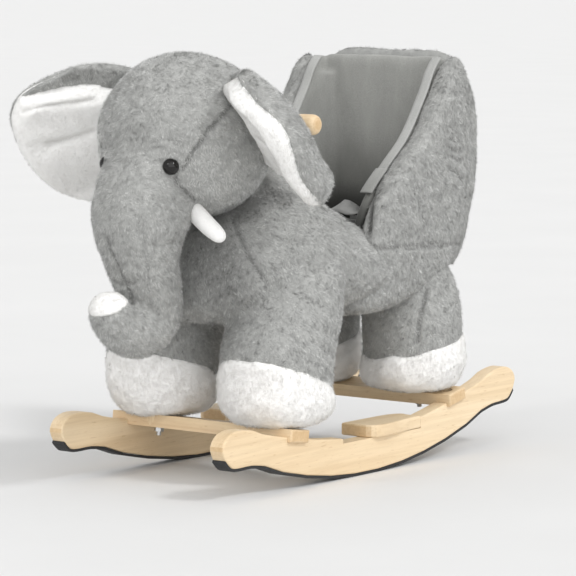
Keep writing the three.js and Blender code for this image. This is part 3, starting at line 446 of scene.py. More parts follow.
def leg_form(leg, side, sink=10):
    top = leg["stations"][-1][0]
    inward = np.array([side * leg["inward"], 0, 0])
    rings = [leg_ring(leg, side, leg["seam"] - sink, leg["stations"][0][1] * 0.97, 0, 1)]
    for rise, radius, lean in spline(leg["stations"], 22):
        ring = leg_ring(leg, side, leg["seam"] + rise, radius, lean, 1 - rise / top)
        rings.append(ring - inward * (rise / top) ** 1.5)
    return soft_form(rings)


def foot_form(leg, side):
    """A foot, round below, fullest at 0.62 of its height and a little narrower at its seam."""
    rings = []
    for t in np.linspace(0, 1, 22):
        swell = math.sqrt(max(0.0, 1 - (1 - min(t / 0.62, 1.0)) ** 2.2))
        swell *= 1 - 0.07 * max(0.0, (t - 0.6) / 0.4) ** 2
        radius = FOOT_SOLE + swell * (leg["foot"] - FOOT_SOLE)
        rings.append(leg_ring(leg, side, leg["bottom"] + t * (leg["seam"] - leg["bottom"]), radius, 0, t))
    last = rings[-1]
    middle = last.mean(0)
    for share, rise in ((0.93, 3), (0.8, 4)):
        rings.append(middle + (last - middle) * share + np.array([0, 0, rise]))
    return soft_form(rings)


def closed_outline(points, count, fine=60):
    """A smooth closed line through the points. fine is the number of steps from one to the next."""
    looped = spline([points[-1]] + list(points) + list(points[:2]), fine * (len(points) + 2) + 1)
    looped = looped[fine:fine + fine * len(points)]
    pick = np.linspace(0, len(looped), count, endpoint=False).astype(int)
    return looped[pick]


PILLOW_LEVELS = (-1, -0.95, -0.86, -0.72, -0.5, -0.25, 0, 0.25, 0.5, 0.72, 0.86, 0.95, 1)


def side_pillow(outline, low, high, rounding=0.38, power=2.6, inset=0.0, flat=0):
    """A pillow with this outline seen from the side. It is less rounded on its side flat, 1 or -1 along X."""
    rim = closed_outline(outline, RIM_STEPS)
    middle = rim.mean(0)
    if inset:
        rim = middle + (rim - middle) * (1 - inset / np.linalg.norm(rim - middle, axis=1, keepdims=True))
    rings = []
    for level in PILLOW_LEVELS:
        depth = 0.3 * rounding if level * flat > 0 else rounding
        share = 1 - depth + depth * (1 - abs(level) ** power) ** 0.5
        x = (low + high) / 2 + level * (high - low) / 2
        yz = middle + (rim - middle) * share
        rings.append(np.stack([np.full(len(yz), x), yz[:, 0], yz[:, 1]], 1))
    return soft_form(rings)


def ear_grid(side, lift, high=1.0, top=0.0, bottom=1.0, rows=56, columns=34, steps=120):
    """A layer of the ear. lift(u, v) is its height over the middle sheet, towards the white face."""
    root, rim = (spline(np.array(edge) * [side, 1, 1], steps + 1) for edge in EARS[side])
    grid = np.zeros((rows, columns, 3))
    for i in range(rows):
        v = top + (bottom - top) * i / (rows - 1)
        at = int(round(v * steps))
        before, after = max(at - 3, 0), min(at + 3, steps)
        down = unit(root[after] - root[before]) + unit(rim[after] - rim[before])
        normal = unit(np.cross(down, unit(rim[at] - root[at])))
        if normal[0] * side > 0:
            normal = -normal
        for j in range(columns):
            share = j / (columns - 1)
            u = high * (1 - (1 - share) ** 1.5)
            hollow = -EAR_CUP * 4 * u * (1 - u)
            grid[i, j] = root[at] * (1 - u) + rim[at] * u + normal * (hollow + lift(u, v))
    return grid


def rounded(t, start, power=2.3):
    """1 up to start, then round down to 0 at 1."""
    over = max(0.0, (t - start) / (1 - start))
    return max(0.0, 1 - over ** power) ** (1 / power)


def ear_back(u, v):
    thick = 9.0 + 15.0 * min(1.0, v / 0.6) + 5.0 * max(0.0, (v - 0.85) / 0.15)
    full = thick * (0.45 + 0.55 * min(1.0, u / 0.3))
    return -full * rounded(u, 0.6) * rounded(v, 0.95) * rounded(1 - v, 0.86)


def ear_front(u, v):
    edges = rounded(u, 0.86) * (rounded(v, 0.86) * rounded(1 - v, 0.86))
    return 10.0 * (0.4 + 0.6 * min(1.0, u / 0.3)) * edges


def ear_white(u, v, top):
    """The white face, which dips into the grey cover near its border."""
    arch = top + 0.09 * (2 * u - 1) ** 2
    inside = rounded(u / FACE_EDGE, 0.86) * rounded(min(1.0, v / FACE_EDGE), 0.9)
    inside *= rounded(min(1.0, (1 - v) / (1 - arch)), 0.9)
    low = max(0.0, min(1.0, (v - 0.45) / 0.4))
    return 2.0 + (28.0 - 11.0 * low) * (0.3 + 0.7 * min(1.0, u / 0.3)) * inside


def flap(front, back):
    """A closed form between two grids of points."""
    rows, columns = front.shape[:2]
    verts = np.vstack([front.reshape(-1, 3), back.reshape(-1, 3)])
    behind = rows * columns
    faces = []
    for i in range(rows - 1):
        for j in range(columns - 1):
            a = i * columns + j
            faces.append((a, a + 1, a + columns + 1, a + columns))
            faces.append((behind + a, behind + a + columns, behind + a + columns + 1, behind + a + 1))
    for i in range(rows - 1):
        a, b = i * columns, i * columns + columns - 1
        faces.append((a, a + columns, behind + a + columns, behind + a))
        faces.append((b + columns, b, behind + b, behind + b + columns))
    for j in range(columns - 1):
        a, b = j, (rows - 1) * columns + j
        faces.append((a + 1, a, behind + a, behind + a + 1))
        faces.append((b, b + 1, behind + b + 1, behind + b))
    return outward(verts, faces)


def piece_from(name, parts):
    verts, faces, base = [], [], 0
    for points, part_faces in parts:
        verts.append(in_frame(points))
        faces.extend([tuple(i + base for i in face) for face in part_faces])
        base += len(points)
    return mesh_object(name, np.vstack(verts), faces)


def relax(obj, rounds, factor=0.5):
    """Moves each vertex towards the middle of its neighbours, and so takes the steps of the voxels out."""
    mesh = obj.data
    co = coords(mesh)
    a, b = array_of(mesh.edges, "vertices", 2, np.int64).T
    degree = np.bincount(np.concatenate([a, b]), minlength=len(co))[:, None]
    for _ in range(rounds):
        total = np.stack([np.bincount(a, co[b, axis], len(co)) + np.bincount(b, co[a, axis], len(co))
                          for axis in range(3)], 1)
        co = co + (total / np.maximum(degree, 1) - co) * factor
    set_coords(mesh, co)


def fuse(name, parts, voxel, rounds):
    """One skin over all the parts."""
    obj = piece_from(name, parts)
    remesh = obj.modifiers.new("remesh", "REMESH")
    remesh.mode = "VOXEL"
    remesh.voxel_size = voxel * MM
    apply_modifiers(obj)
    relax(obj, rounds)
    obj.data.shade_smooth()
    return obj


def weld(obj, reach=0.05):
    joined = obj.modifiers.new("weld", "WELD")
    joined.merge_threshold = reach * MM
    apply_modifiers(obj)


def lumps(obj, size, amount, seed):
    """Uneven stuffing: vertices move along their normals by smooth noise."""
    move(obj, value_noise(coords(obj.data), size * MM, seed) * amount)


# Seams that the photograph shows are traced onto the forms from the camera
def tree_of(obj):
    polygons = [tuple(p.vertices) for p in obj.data.polygons]
    return BVHTree.FromPolygons([tuple(v) for v in coords(obj.data)], polygons)


def trace(tree, pixels, step=2.0):
    """Where the camera sees this line of pixels on a form."""
    line = []
    middle = IMAGE_SIDE / 2
    for (ax, ay), (bx, by) in zip(pixels[:-1], pixels[1:]):
        count = max(1, int(math.hypot(bx - ax, by - ay) / step))
        for k in range(count + 1):
            x = ax + (bx - ax) * k / count
            y = ay + (by - ay) * k / count
            aim = FORWARD + RIGHT * ((x - middle) / FOCAL) + UP * ((middle - y) / FOCAL)
            hit = tree.ray_cast(CAMERA_PLACE, aim.normalized())[0]
            if hit is not None:
                line.append(tuple(hit))
    return np.array(line)


def mirrored(line):
    return line * np.array([-1.0, 1.0, 1.0])


def both_sides(tree, traced):
    """Each line of pixels traced onto the form, and its mirror image on the far side."""
    lines = []
    for pixels in traced:
        line = trace(tree, pixels)
        if len(line) > 1:
            lines += [line, mirrored(line)]
    return lines


def distance_to(points, lines, margin=0.02):
    """Distance to the nearest line in metres, and 1 beyond the margin."""
    best = np.full(len(points), 1.0)
    for line in lines:
        low, high = line.min(0) - margin, line.max(0) + margin
        near = np.where(((points > low) & (points < high)).all(1))[0]
        if not len(near):
            continue
        q = points[near]
        closest = np.full(len(near), 1.0)
        for a, b in zip(line[:-1], line[1:]):
            d = b - a
            long = d @ d
            if long < 1e-12:
                continue
            t = np.clip((q - a) @ d / long, 0, 1)
            closest = np.minimum(closest, np.linalg.norm(q - a - t[:, None] * d, axis=1))
        best[near] = np.minimum(best[near], closest)
    return best


def nearness(points, lines, reach, margin=0.02):
    """1 on the lines, and falling off within this reach."""
    return np.exp(-(distance_to(points, lines, margin) / (reach * MM)) ** 2)


def stitch(obj, lines, width, depth):
    """Draws the surface in along the lines and returns how near each vertex is to them, from 0 to 1."""
    far = distance_to(coords(obj.data), lines)
    close = np.exp(-(far / (width * MM)) ** 2)
    wide = np.exp(-(far / (3.2 * width * MM)) ** 2)
    move(obj, -(0.62 * close + 0.38 * wide) * depth)
    return close


def mark_seam_and_shade(obj, values):
    """Stores how much the materials darken each vertex for a seam or for painted shade, from 0 to 1."""
    layer = obj.data.attributes.new("seam", "FLOAT", "POINT")
    layer.data.foreach_set("value", np.full(len(obj.data.vertices), values, np.float32))


# Pile: many fine blades that stand on a form
TONE_STEPS = 64


def blades(name, corners, normals, tone):
    """Triangles that store their tone, in steps, and the way from root to tip."""
    count = len(corners)
    along = np.array([0.0, 0.0, 1.0])
    mesh = bpy.data.meshes.new(name)
    mesh.vertices.add(count * 3)
    mesh.vertices.foreach_set("co", corners.reshape(-1).astype(np.float32))
    mesh.loops.add(count * 3)
    mesh.loops.foreach_set("vertex_index", np.arange(count * 3, dtype=np.int32))
    mesh.polygons.add(count)
    mesh.polygons.foreach_set("loop_start", np.arange(0, count * 3, 3, dtype=np.int32))
    mesh.polygons.foreach_set("use_smooth", np.ones(count, bool))
    mesh.update(calc_edges=True)
    column = np.clip((tone * TONE_STEPS).astype(int), 0, TONE_STEPS - 1)
    level = (column + 0.5) / TONE_STEPS
    colour = np.ones((count, 3, 4), np.float32)
    colour[:, :, 0] = level[:, None]
    colour[:, :, 1] = along
    colour[:, :, 2] = 0.0
    layer = mesh.color_attributes.new("pile", "FLOAT_COLOR", "POINT")
    layer.data.foreach_set("color", colour.ravel())
    uv = np.zeros((count, 3, 2), np.float32)
    uv[:, :, 0] = level[:, None] + np.array([-0.3, 0.3, 0.0]) / TONE_STEPS
    uv[:, :, 1] = 0.03 + 0.94 * along
    mesh.uv_layers.new(name="OFBake").data.foreach_set("uv", uv.ravel())
    mesh.normals_split_custom_set_from_vertices(np.repeat(normals, 3, axis=0).tolist())
    return link(bpy.data.objects.new(name, mesh))


def tufts(place, size, seed):
    """The middle of the tuft that each place belongs to, and a tone of its own. size is that of a tuft."""
    base = np.floor(place / size - 0.5)
    best = np.full(len(place), 1e9)
    middle = np.array(place)
    own = np.zeros(len(place))
    for corner in CORNERS:
        cell = base + corner
        spot = (cell + 0.5 + 0.48 * np.stack([lattice(cell, seed + k) for k in range(3)], 1)) * size
        far = (((spot - place) / size) ** 2).sum(1)
        closer = far < best
        best = np.where(closer, far, best)
        middle = np.where(closer[:, None], spot, middle)
        own = np.where(closer, lattice(cell, seed + 3), own)
    return middle, own


def scatter(mesh, count, keep, rng):
    """Random places on a form, even by area where keep is 1, and the normals there."""
    mesh.calc_loop_triangles()
    tri = array_of(mesh.loop_triangles, "vertices", 3, np.int32)
    co, no = coords(mesh), vertex_normals(mesh)
    area = np.linalg.norm(np.cross(co[tri[:, 1]] - co[tri[:, 0]], co[tri[:, 2]] - co[tri[:, 0]]), axis=1)
    if keep is not None:
        area = area * keep[tri].mean(1)
    pick = rng.choice(len(tri), count, p=area / area.sum())
    r, t = np.sqrt(rng.random(count)), rng.random(count)
    share = np.stack([1 - r, r * (1 - t), r * t], 1)[:, :, None]
    return (co[tri[pick]] * share).sum(1), unit((no[tri[pick]] * share).sum(1))


def noise_vectors(place, size, seed):
    return np.stack([value_noise(place, size, seed + k) for k in range(3)], 1)


def along_surface(vectors, normal):
    return vectors - normal * (vectors * normal).sum(1, keepdims=True)


def patchy(place, patch, mottle, seed):
    """Three sizes of patches of lighter and darker pile."""
    tone = mottle * value_noise(place, patch * 0.9 * MM, seed + 11)
    tone = tone + mottle * value_noise(place, patch * 0.35 * MM, seed + 12)
    return tone + mottle * value_noise(place * np.array([1.0, 1.0, 0.45]), patch * 0.16 * MM, seed + 13)


def pile(name, base, count, length, width, flow, seed, lean=0.86, stray=0.9, patch=9.0, lines=(), narrow=1.3,
         keep=None, mottle=0.2, shade=(), tuft=3.6, clump=0.34, calm=1.0, middle_tone=0.56):
    """Blades on a form. They gather in tufts, are short and dark along lines, get painted shade near shade
    lines, and painted light where a line's amount is below zero.
    """
    rng = np.random.default_rng(seed)
    place, normal = scatter(base.data, count, keep, rng)
    near = nearness(place, lines, narrow)
    wind = noise_vectors(place, patch * MM, seed)
    gust = noise_vectors(place, 0.38 * patch * MM, seed + 5)
    # Which way each blade lies and leans
    lay = unit(np.broadcast_to(flow(place), place.shape)) + (wind + 0.7 * gust) * stray
    lay = unit(along_surface(lay + rng.normal(size=(count, 3)) * 0.22, normal))
    slant = np.clip(lean + rng.normal(size=(count, 1)) * 0.09, 0.2, 0.97)
    way = unit(lay * slant + normal * np.sqrt(1 - slant ** 2))
    # Its size, and its tip drawn towards the middle of its tuft
    size = length * MM * (0.65 + 0.6 * rng.random(count)) * (1 - 0.45 * near ** 0.16 - 0.3 * near)
    across = unit(np.cross(way, normal)) * (width * MM / 2 * (0.7 + 0.6 * rng.random(count)))[:, None]
    root = place - normal * (0.5 * MM)
    middle, own = tufts(place + 2.0 * MM * wind, tuft * MM * np.array([1.0, 1.0, 1.6]), seed + 20)
    gather = along_surface(middle - place, normal)
    tip = root + way * size[:, None] + gather * clump
    corners = np.stack([root - across, root + across, tip], 1)
    # Its shading normal, which never turns far from the form's
    round_tuft = -gather / (tuft * MM) * clump
    turn = lay * 0.2 + 0.2 * (wind + gust) + round_tuft + rng.normal(size=(count, 3)) * 0.05
    facing = unit(normal + calm * turn)
    facing = np.where((facing * normal).sum(1, keepdims=True) < 0.2, normal, facing)
    # Its tone: patches, its tuft's own tone, dark rims of tufts, seams, and painted shade and painted light
    # along lines
    edge = np.linalg.norm(gather, axis=1) / (tuft * MM)
    tone = middle_tone + patchy(place, patch, mottle, seed)
    tone = tone + 0.35 * mottle * own - 0.6 * mottle * (edge - 0.45)
    tone = tone + rng.normal(size=count) * 0.05 - 0.9 * np.maximum(near, nearness(tip, lines, narrow))
    # Painted shade along each line, or painted light where the amount is below zero
    for dark_lines, reach, amount in shade:
        tone = tone - amount * nearness(place, dark_lines, reach, margin=2.4 * reach * MM)
    return blades(name, corners, facing, np.clip(tone, 0.0, 0.999))


# Materials
def new_material(name):
    material = bpy.data.materials.new(name)
    material.use_nodes = True
    tree = material.node_tree
    return material, tree, tree.nodes["Principled BSDF"]


def connect(tree, made, sockets):
    """Links each named socket of a node to an output, or sets it to a value."""
    for key, value in sockets.items():
        socket = made.inputs[key]
        if isinstance(value, bpy.types.NodeSocket):
            tree.links.new(value, socket)
        elif socket.type == "RGBA":
            socket.default_value = (*value, 1.0)
        else:
            socket.default_value = value


def node(tree, kind, sockets=None, **values):
    made = tree.nodes.new(kind)
    for key, value in values.items():
        setattr(made, key, value)
    connect(tree, made, sockets or {})
    return made


def ramp(tree, source, stops):
    made = node(tree, "ShaderNodeValToRGB", {"Fac": source})
    elements = made.color_ramp.elements
    elements[0].position, elements[1].position = stops[0][0], stops[-1][0]
    elements[0].color, elements[1].color = (*stops[0][1], 1.0), (*stops[-1][1], 1.0)
    for position, colour in stops[1:-1]:
        elements.new(position).color = (*colour, 1.0)
    return made.outputs["Color"]


def noise_of(tree, vector, scale, detail, roughness):
    made = node(tree, "ShaderNodeTexNoise",
                {"Vector": vector, "Scale": scale, "Detail": detail, "Roughness": roughness})
    return made.outputs["Fac"]


def object_vector(tree, scale=(1.0, 1.0, 1.0)):
    place = node(tree, "ShaderNodeTexCoord")
    stretch = node(tree, "ShaderNodeMapping", {"Vector": place.outputs["Object"], "Scale": scale})
    return stretch.outputs["Vector"]


def mixed(tree, a, b, factor, blend="MIX"):
    made = node(tree, "ShaderNodeMix", {6: a, 7: b, 0: factor}, data_type="RGBA", blend_type=blend)
    return made.outputs[2]


def with_seam_and_shade(tree, colour, seam_and_shade_colour):
    """The colour, and the dark colour of seams and painted shade where the form's stored seam values say so.
    """
    seam = node(tree, "ShaderNodeAttribute", attribute_name="seam")
    return mixed(tree, colour, seam_and_shade_colour, seam.outputs["Fac"])


def ranged(tree, value, limits):
    return node(tree, "ShaderNodeMapRange", {"Value": value, **limits}).outputs["Result"]


def bump(tree, height, strength, distance):
    made = node(tree, "ShaderNodeBump", {"Height": height, "Strength": strength, "Distance": distance})
    return made.outputs["Normal"]


def pile_material(name, root, dark, light):
    """Blades: each one's tone and the way from root to tip are stored with it."""
    material, tree, shader = new_material(name)
    stored = node(tree, "ShaderNodeAttribute", attribute_name="pile")
    split = node(tree, "ShaderNodeSeparateColor", {"Color": stored.outputs["Color"]})
    tone = ramp(tree, split.outputs["Red"], [(0.1, dark), (0.9, light)])
    low = mixed(tree, tone, root, 1.0, "MULTIPLY")
    connect(tree, shader, {
        "Base Color": mixed(tree, low, tone, split.outputs["Green"]), "Roughness": 0.85,
        "Specular IOR Level": 0.25, "Sheen Weight": 0.25, "Sheen Roughness": 0.5})
    return material


def ground_material(name, dark, light, seam_and_shade_colour):
    """The cloth under the pile, with matted patches, and dark where a seam draws it in or painted shade is
    stored.
    """
    material, tree, shader = new_material(name)
    vector = object_vector(tree)
    patches = noise_of(tree, vector, 95.0, 5.0, 0.65)
    colour = ramp(tree, patches, [(0.3, dark), (0.7, light)])
    connect(tree, shader, {
        "Base Color": with_seam_and_shade(tree, colour, seam_and_shade_colour), "Roughness": 0.95, "Specular IOR Level": 0.15,
        "Normal": bump(tree, noise_of(tree, vector, 600.0, 3.0, 0.6), 0.5, 0.001)})
    return material


def velour_material(name, dark, light):
    """Short smooth pile, darkened deeper in the seat by painted shade."""
    material, tree, shader = new_material(name)
    brushed = noise_of(tree, object_vector(tree, (1.0, 1.0, 0.35)), 22.0, 5.0, 0.6)
    colour = ramp(tree, brushed, [(0.3, dark), (0.72, light)])
    fine = noise_of(tree, object_vector(tree), 900.0, 2.0, 0.6)
    speck = ramp(tree, fine, [(0.3, (0.86, 0.86, 0.86)), (0.7, (1.08, 1.08, 1.08))])
    colour = mixed(tree, colour, speck, 1.0, "MULTIPLY")
    # Painted shade, darker towards the bottom of the seat
    height = node(tree, "ShaderNodeSeparateXYZ", {"Vector": object_vector(tree)})
    painted_shade_height = ranged(tree, height.outputs["Z"], {"From Min": DEPTH_LOW, "From Max": DEPTH_HIGH})
    colour = mixed(tree, colour, ramp(tree, painted_shade_height, PAINTED_SHADE_STOPS), 1.0, "MULTIPLY")
    connect(tree, shader, {
        "Base Color": with_seam_and_shade(tree, colour, DEEP_SEAM_AND_SHADE), "Roughness": 0.8, "Specular IOR Level": 0.3,
        "Sheen Weight": 0.35, "Sheen Roughness": 0.4, "Normal": bump(tree, fine, 0.35, 0.0006)})
    return material


def wood_material(name, along, dark, mid, light):
    """Pale wood: long grain, short dark flecks, darker end grain. along is 0, 1 or 2, the grain's axis."""
    material, tree, shader = new_material(name)

    def grain(across_scale, along_scale, detail, roughness):
        scale = [across_scale] * 3
        scale[along] = along_scale
        return noise_of(tree, object_vector(tree, tuple(scale)), 1.0, detail, roughness)

    bands = grain(38.0, 2.2, 3.0, 0.5)
    lines = grain(260.0, 9.0, 4.0, 0.6)
    dots = grain(620.0, 75.0, 1.0, 0.5)
    colour = ramp(tree, bands, [(0.25, dark), (0.5, mid), (0.78, light)])
    streak = ramp(tree, lines, [(0.35, (0.84, 0.8, 0.74)), (0.6, (1.0, 1.0, 1.0))])
    colour = mixed(tree, colour, streak, 0.55, "MULTIPLY")
    short = ramp(tree, dots, [(0.66, (1.0, 1.0, 1.0)), (0.74, (0.68, 0.56, 0.42))])
    colour = mixed(tree, colour, short, 0.4, "MULTIPLY")
    face = node(tree, "ShaderNodeNewGeometry")
    facing = node(tree, "ShaderNodeSeparateXYZ", {"Vector": face.outputs["True Normal"]}).outputs[along]
    square = node(tree, "ShaderNodeMath", {0: facing, 1: facing}, operation="MULTIPLY")
    ends = ramp(tree, square.outputs[0], [(0.72, (1.0, 1.0, 1.0)), (0.95, (0.84, 0.77, 0.67))])
    connect(tree, shader, {
        "Base Color": mixed(tree, colour, ends, 1.0, "MULTIPLY"),
        "Roughness": ranged(tree, lines, {"To Min": 0.42, "To Max": 0.58}),
        "Normal": bump(tree, lines, 0.12, 0.0005)})
    return material


def plain_material(name, dark, light, scale, roughness, uneven=0.08, strength=0.2, extra=None):
    """One colour with a fine grain. uneven is how far the roughness varies, strength that of the bumps."""
    material, tree, shader = new_material(name)
    grain = noise_of(tree, object_vector(tree), scale, 4.0, 0.6)
    colour = ramp(tree, grain, [(0.3, dark), (0.7, light)])
    connect(tree, shader, {"Base Color": colour, "Roughness": roughness, **(extra or {})})
    if uneven:
        limits = {"To Min": roughness - uneven, "To Max": roughness + uneven}
        connect(tree, shader, {"Roughness": ranged(tree, grain, limits)})
    if strength:
        connect(tree, shader, {"Normal": bump(tree, grain, strength, 0.0004)})
    return material


def webbing_material(name, dark, light):
    """Satin ribbon: fine ribs across, uneven in tone, with a soft gloss."""
    material, tree, shader = new_material(name)
    ribs = node(tree, "ShaderNodeTexWave", {"Vector": object_vector(tree), "Scale": 260.0, "Distortion": 0.6},
                wave_type="BANDS", bands_direction="X").outputs["Fac"]
    patches = noise_of(tree, object_vector(tree), 60.0, 3.0, 0.5)
    colour = ramp(tree, patches, [(0.3, dark), (0.7, light)])
    rib = ramp(tree, ribs, [(0.2, (0.8, 0.8, 0.8)), (0.8, (1.05, 1.05, 1.05))])
    connect(tree, shader, {
        "Base Color": mixed(tree, colour, rib, 1.0, "MULTIPLY"), "Roughness": 0.38, "Sheen Weight": 0.2,
        "Normal": bump(tree, ribs, 0.3, 0.0003)})
    return material


# Painted shade: velour gets darker from the upper to the lower of these heights, in metres, deeper in the
# seat
DEPTH_LOW, DEPTH_HIGH = 0.285, 0.4
# The darkest painted shade, which is also the colour of the velour's seams
DEEP_SEAM_AND_SHADE = (0.05, 0.05, 0.048)
PAINTED_SHADE_STOPS = [(0.0, DEEP_SEAM_AND_SHADE), (0.2, (0.22, 0.22, 0.215)), (0.4, (0.62, 0.62, 0.61)), (1.0, (1.0, 1.0, 1.0))]
GREY_PILE = pile_material("grey_plush_pile", (0.78, 0.78, 0.78), (0.14, 0.141, 0.136), (0.78, 0.785, 0.765))
WHITE_PILE = pile_material("white_fleece_pile", (0.97, 0.965, 0.955), (0.84, 0.832, 0.81),
                           (0.96, 0.955, 0.94))
# The last colour of each ground is the dark of seams and of painted shade
GREY_GROUND = ground_material("grey_plush_ground", (0.3, 0.302, 0.293), (0.42, 0.423, 0.41),
                              (0.08, 0.08, 0.077))
WHITE_GROUND = ground_material("white_fleece_ground", (0.9, 0.895, 0.88), (0.97, 0.965, 0.95),
                               (0.62, 0.61, 0.59))
LINING = velour_material("grey_velour", (0.255, 0.257, 0.243), (0.36, 0.362, 0.343))
WEBBING = webbing_material("grey_satin", (0.15, 0.15, 0.145), (0.23, 0.23, 0.222))
BINDING = velour_material("grey_binding", (0.36, 0.363, 0.35), (0.46, 0.463, 0.448))
TUSK = plain_material("tusk_velvet", (0.86, 0.855, 0.84), (0.95, 0.945, 0.93), 700.0, 0.7, strength=0.3)
WOOD_Y = wood_material("beech_lengthwise", 1, (0.7, 0.53, 0.33), (0.78, 0.615, 0.405), (0.84, 0.685, 0.475))
WOOD_X = wood_material("beech_crosswise", 0, (0.68, 0.5, 0.31), (0.76, 0.59, 0.38), (0.82, 0.66, 0.45))
WOOD_Z = wood_material("beech_upright", 2, (0.68, 0.5, 0.31), (0.76, 0.59, 0.38), (0.82, 0.66, 0.45))
PLYWOOD = wood_material("birch_board", 1, (0.56, 0.43, 0.28), (0.66, 0.52, 0.35), (0.72, 0.59, 0.42))
RUBBER = plain_material("black_rubber", (0.012, 0.012, 0.013), (0.03, 0.03, 0.031), 260.0, 0.7)
STEEL = plain_material("zinc_steel", (0.42, 0.425, 0.43), (0.62, 0.625, 0.63), 500.0, 0.32, strength=0.1,
                       extra={"Metallic": 1.0})
GLOSS = plain_material("eye_gloss", (0.004, 0.0035, 0.003), (0.008, 0.007, 0.006), 90.0, 0.03, uneven=0.0,
                       strength=0.0, extra={"Specular IOR Level": 0.42})


# Pieces
SIDES = {"left": 1, "right": -1}
# How far the grey covers are drawn in, to leave room for their pile
PILE_ROOM = 1.6


def dress(obj, material, slot, *nodes):
    obj.data.materials.clear()
    obj.data.materials.append(material)
    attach(obj, "root")
    if nodes:
        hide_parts(*nodes)


def grey_cover(obj, seam, *nodes, room=PILE_ROOM):
    """Dresses a grey form, which is drawn in to leave room for its pile, and stores its seams and painted
    shade.
    """
    mark_seam_and_shade(obj, seam)
    move(obj, -room)
    dress(obj, GREY_GROUND, "grey_plush", *nodes)


# A white form stores its seams and painted shade, and is dressed
def white_cover(obj, seam, *nodes):
    mark_seam_and_shade(obj, seam)
    dress(obj, WHITE_GROUND, "white_fleece", *nodes)


def stuffed(name, parts, voxel, rounds, *unevenness):
    """Parts fused to one form, made uneven by lumps of each given size, amount and seed."""
    obj = fuse(name, parts, voxel, rounds)
    for size, amount, seed in unevenness:
        lumps(obj, size, amount, seed)
    return obj


# The floor
def add_floor(half=120.0, depth=0.0002):
    corners = [(-half, -half, 0), (half, -half, 0), (half, half, 0), (-half, half, 0)]
    floor = mesh_object("floor", corners, [(0, 1, 2, 3)])
    material = plain_material("pale_floor", (0.7, 0.7, 0.697), (0.72, 0.72, 0.717), 3.0, 0.8, strength=0.0)
    floor.data.materials.append(material)
    floor.location = (0.0, 0.0, -depth)


add_floor()


# Face: head and trunk in one cover
def over_cap_plane(co):
    """How far points lie over the plane where the trunk's white end starts, in millimetres."""
    lean = math.radians(CAP_LEAN)
    y, z = in_model(co)[:, 1:].T
    height = (z - CAP_POINT[1]) * math.cos(lean) - (y - CAP_POINT[0]) * math.sin(lean)
    return np.where((y < CAP_REAR) & (z < CAP_TOP), height, -50.0)


def sink_where(obj, share, depth):
    """Moves the surface in by depth where share is 1."""
    move(obj, -np.clip(share, 0, 1) * depth)


face_parts = [head_form(), limb(TRUNK, ends=(True, False)), limb(TRUNK_TIP, dense=14)]
face = stuffed("face_plush", face_parts, 2.9, 16, (60, 1.6, 21), (22, 0.6, 22))
face_tree = tree_of(face)
face_lines = both_sides(face_tree, [HEAD_SEAM, CHEEK_SEAM]) + [trace(face_tree, TRUNK_SEAM)]
bridge = [trace(face_tree, BRIDGE)]
trunk_corner_shade = [trace(face_tree, TRUNK_CORNER_SHADE)]
cheek_light = both_sides(face_tree, [CHEEK_LIGHT])
under_cheek_shade = both_sides(face_tree, [UNDER_CHEEK_SHADE])
wrinkles = both_sides(face_tree, WRINKLES)
face_seam_and_shade = stitch(face, face_lines, 2.2, 2.0)
stitch(face, bridge, 2.4, 1.2)
# The wrinkles are drawn in and darkened with painted shade
face_seam_and_shade = np.maximum(face_seam_and_shade, 0.25 * stitch(face, wrinkles, 2.4, 1.6))
grey_cover(face, 0.7 * face_seam_and_shade, "head", "trunk")
sink_where(face, over_cap_plane(coords(face.data)) / 1.5, 3.0)

# Body: torso and front legs in one cover
# How far the painted shade under the head reaches on the chest and on the neck
CHEST_SHADE_REACH, NECK_SHADE_REACH = 38.0, 15.0
body = stuffed("body_plush", [torso_form(), leg_form(FRONT_LEG, 1), leg_form(FRONT_LEG, -1)], 3.2, 12,
               (70, 2.2, 31), (24, 0.6, 32))
body_tree = tree_of(body)
body_lines = both_sides(body_tree, [CHEST_SEAM])
shoulder = both_sides(body_tree, [SHOULDER])
chest_shade = both_sides(body_tree, [CHEST_SHADE])
neck_shade = both_sides(body_tree, [NECK_SHADE])
body_seam_and_shade = stitch(body, body_lines, 2.4, 2.4)
# The shoulder line is drawn in and darkened with painted shade
body_seam_and_shade = 0.7 * np.maximum(body_seam_and_shade, 0.2 * stitch(body, shoulder, 3.4, 2.0))
# Painted shade under the head darkens the cover on the neck and the chest
neck_shade_weight = nearness(coords(body.data), neck_shade, NECK_SHADE_REACH, margin=0.05)
chest_shade_weight = nearness(coords(body.data), chest_shade, CHEST_SHADE_REACH, margin=0.09)
body_seam_and_shade = np.maximum(body_seam_and_shade, np.maximum(0.6 * neck_shade_weight, 0.4 * chest_shade_weight))
grey_cover(body, body_seam_and_shade, "torso", "leg_front_left", "leg_front_right")

# Rear legs
rear_legs = {}
for name, side in SIDES.items():
    rear_legs[name] = stuffed("rear_leg_plush_" + name, [leg_form(REAR_LEG, side)], 3.2, 8, (50, 1.4, 41))
rear_lines = dict(zip(SIDES, both_sides(tree_of(rear_legs["left"]), [REAR_LEG_SEAM])))
for name, leg in rear_legs.items():
    grey_cover(leg, 0.6 * stitch(leg, [rear_lines[name]], 2.4, 2.2), "leg_rear_" + name)

# Feet
feet = {}
for end, spec in (("front", FRONT_LEG), ("rear", REAR_LEG)):
    for name, side in SIDES.items():
        place = "%s_%s" % (end, name)
        foot = stuffed("foot_plush_" + place, [foot_form(spec, side)], 3.2, 5, (30, 2.2, 51), (13, 1.1, 52))
        white_cover(foot, 0.0, "foot_" + place)
        feet[place] = foot


# Bucket seat: tub, wings and back
def wing_form(side, inner, outer, **rounding):
    low, high = sorted((side * inner, side * outer))
    return side_pillow(WING, low, high, **rounding)


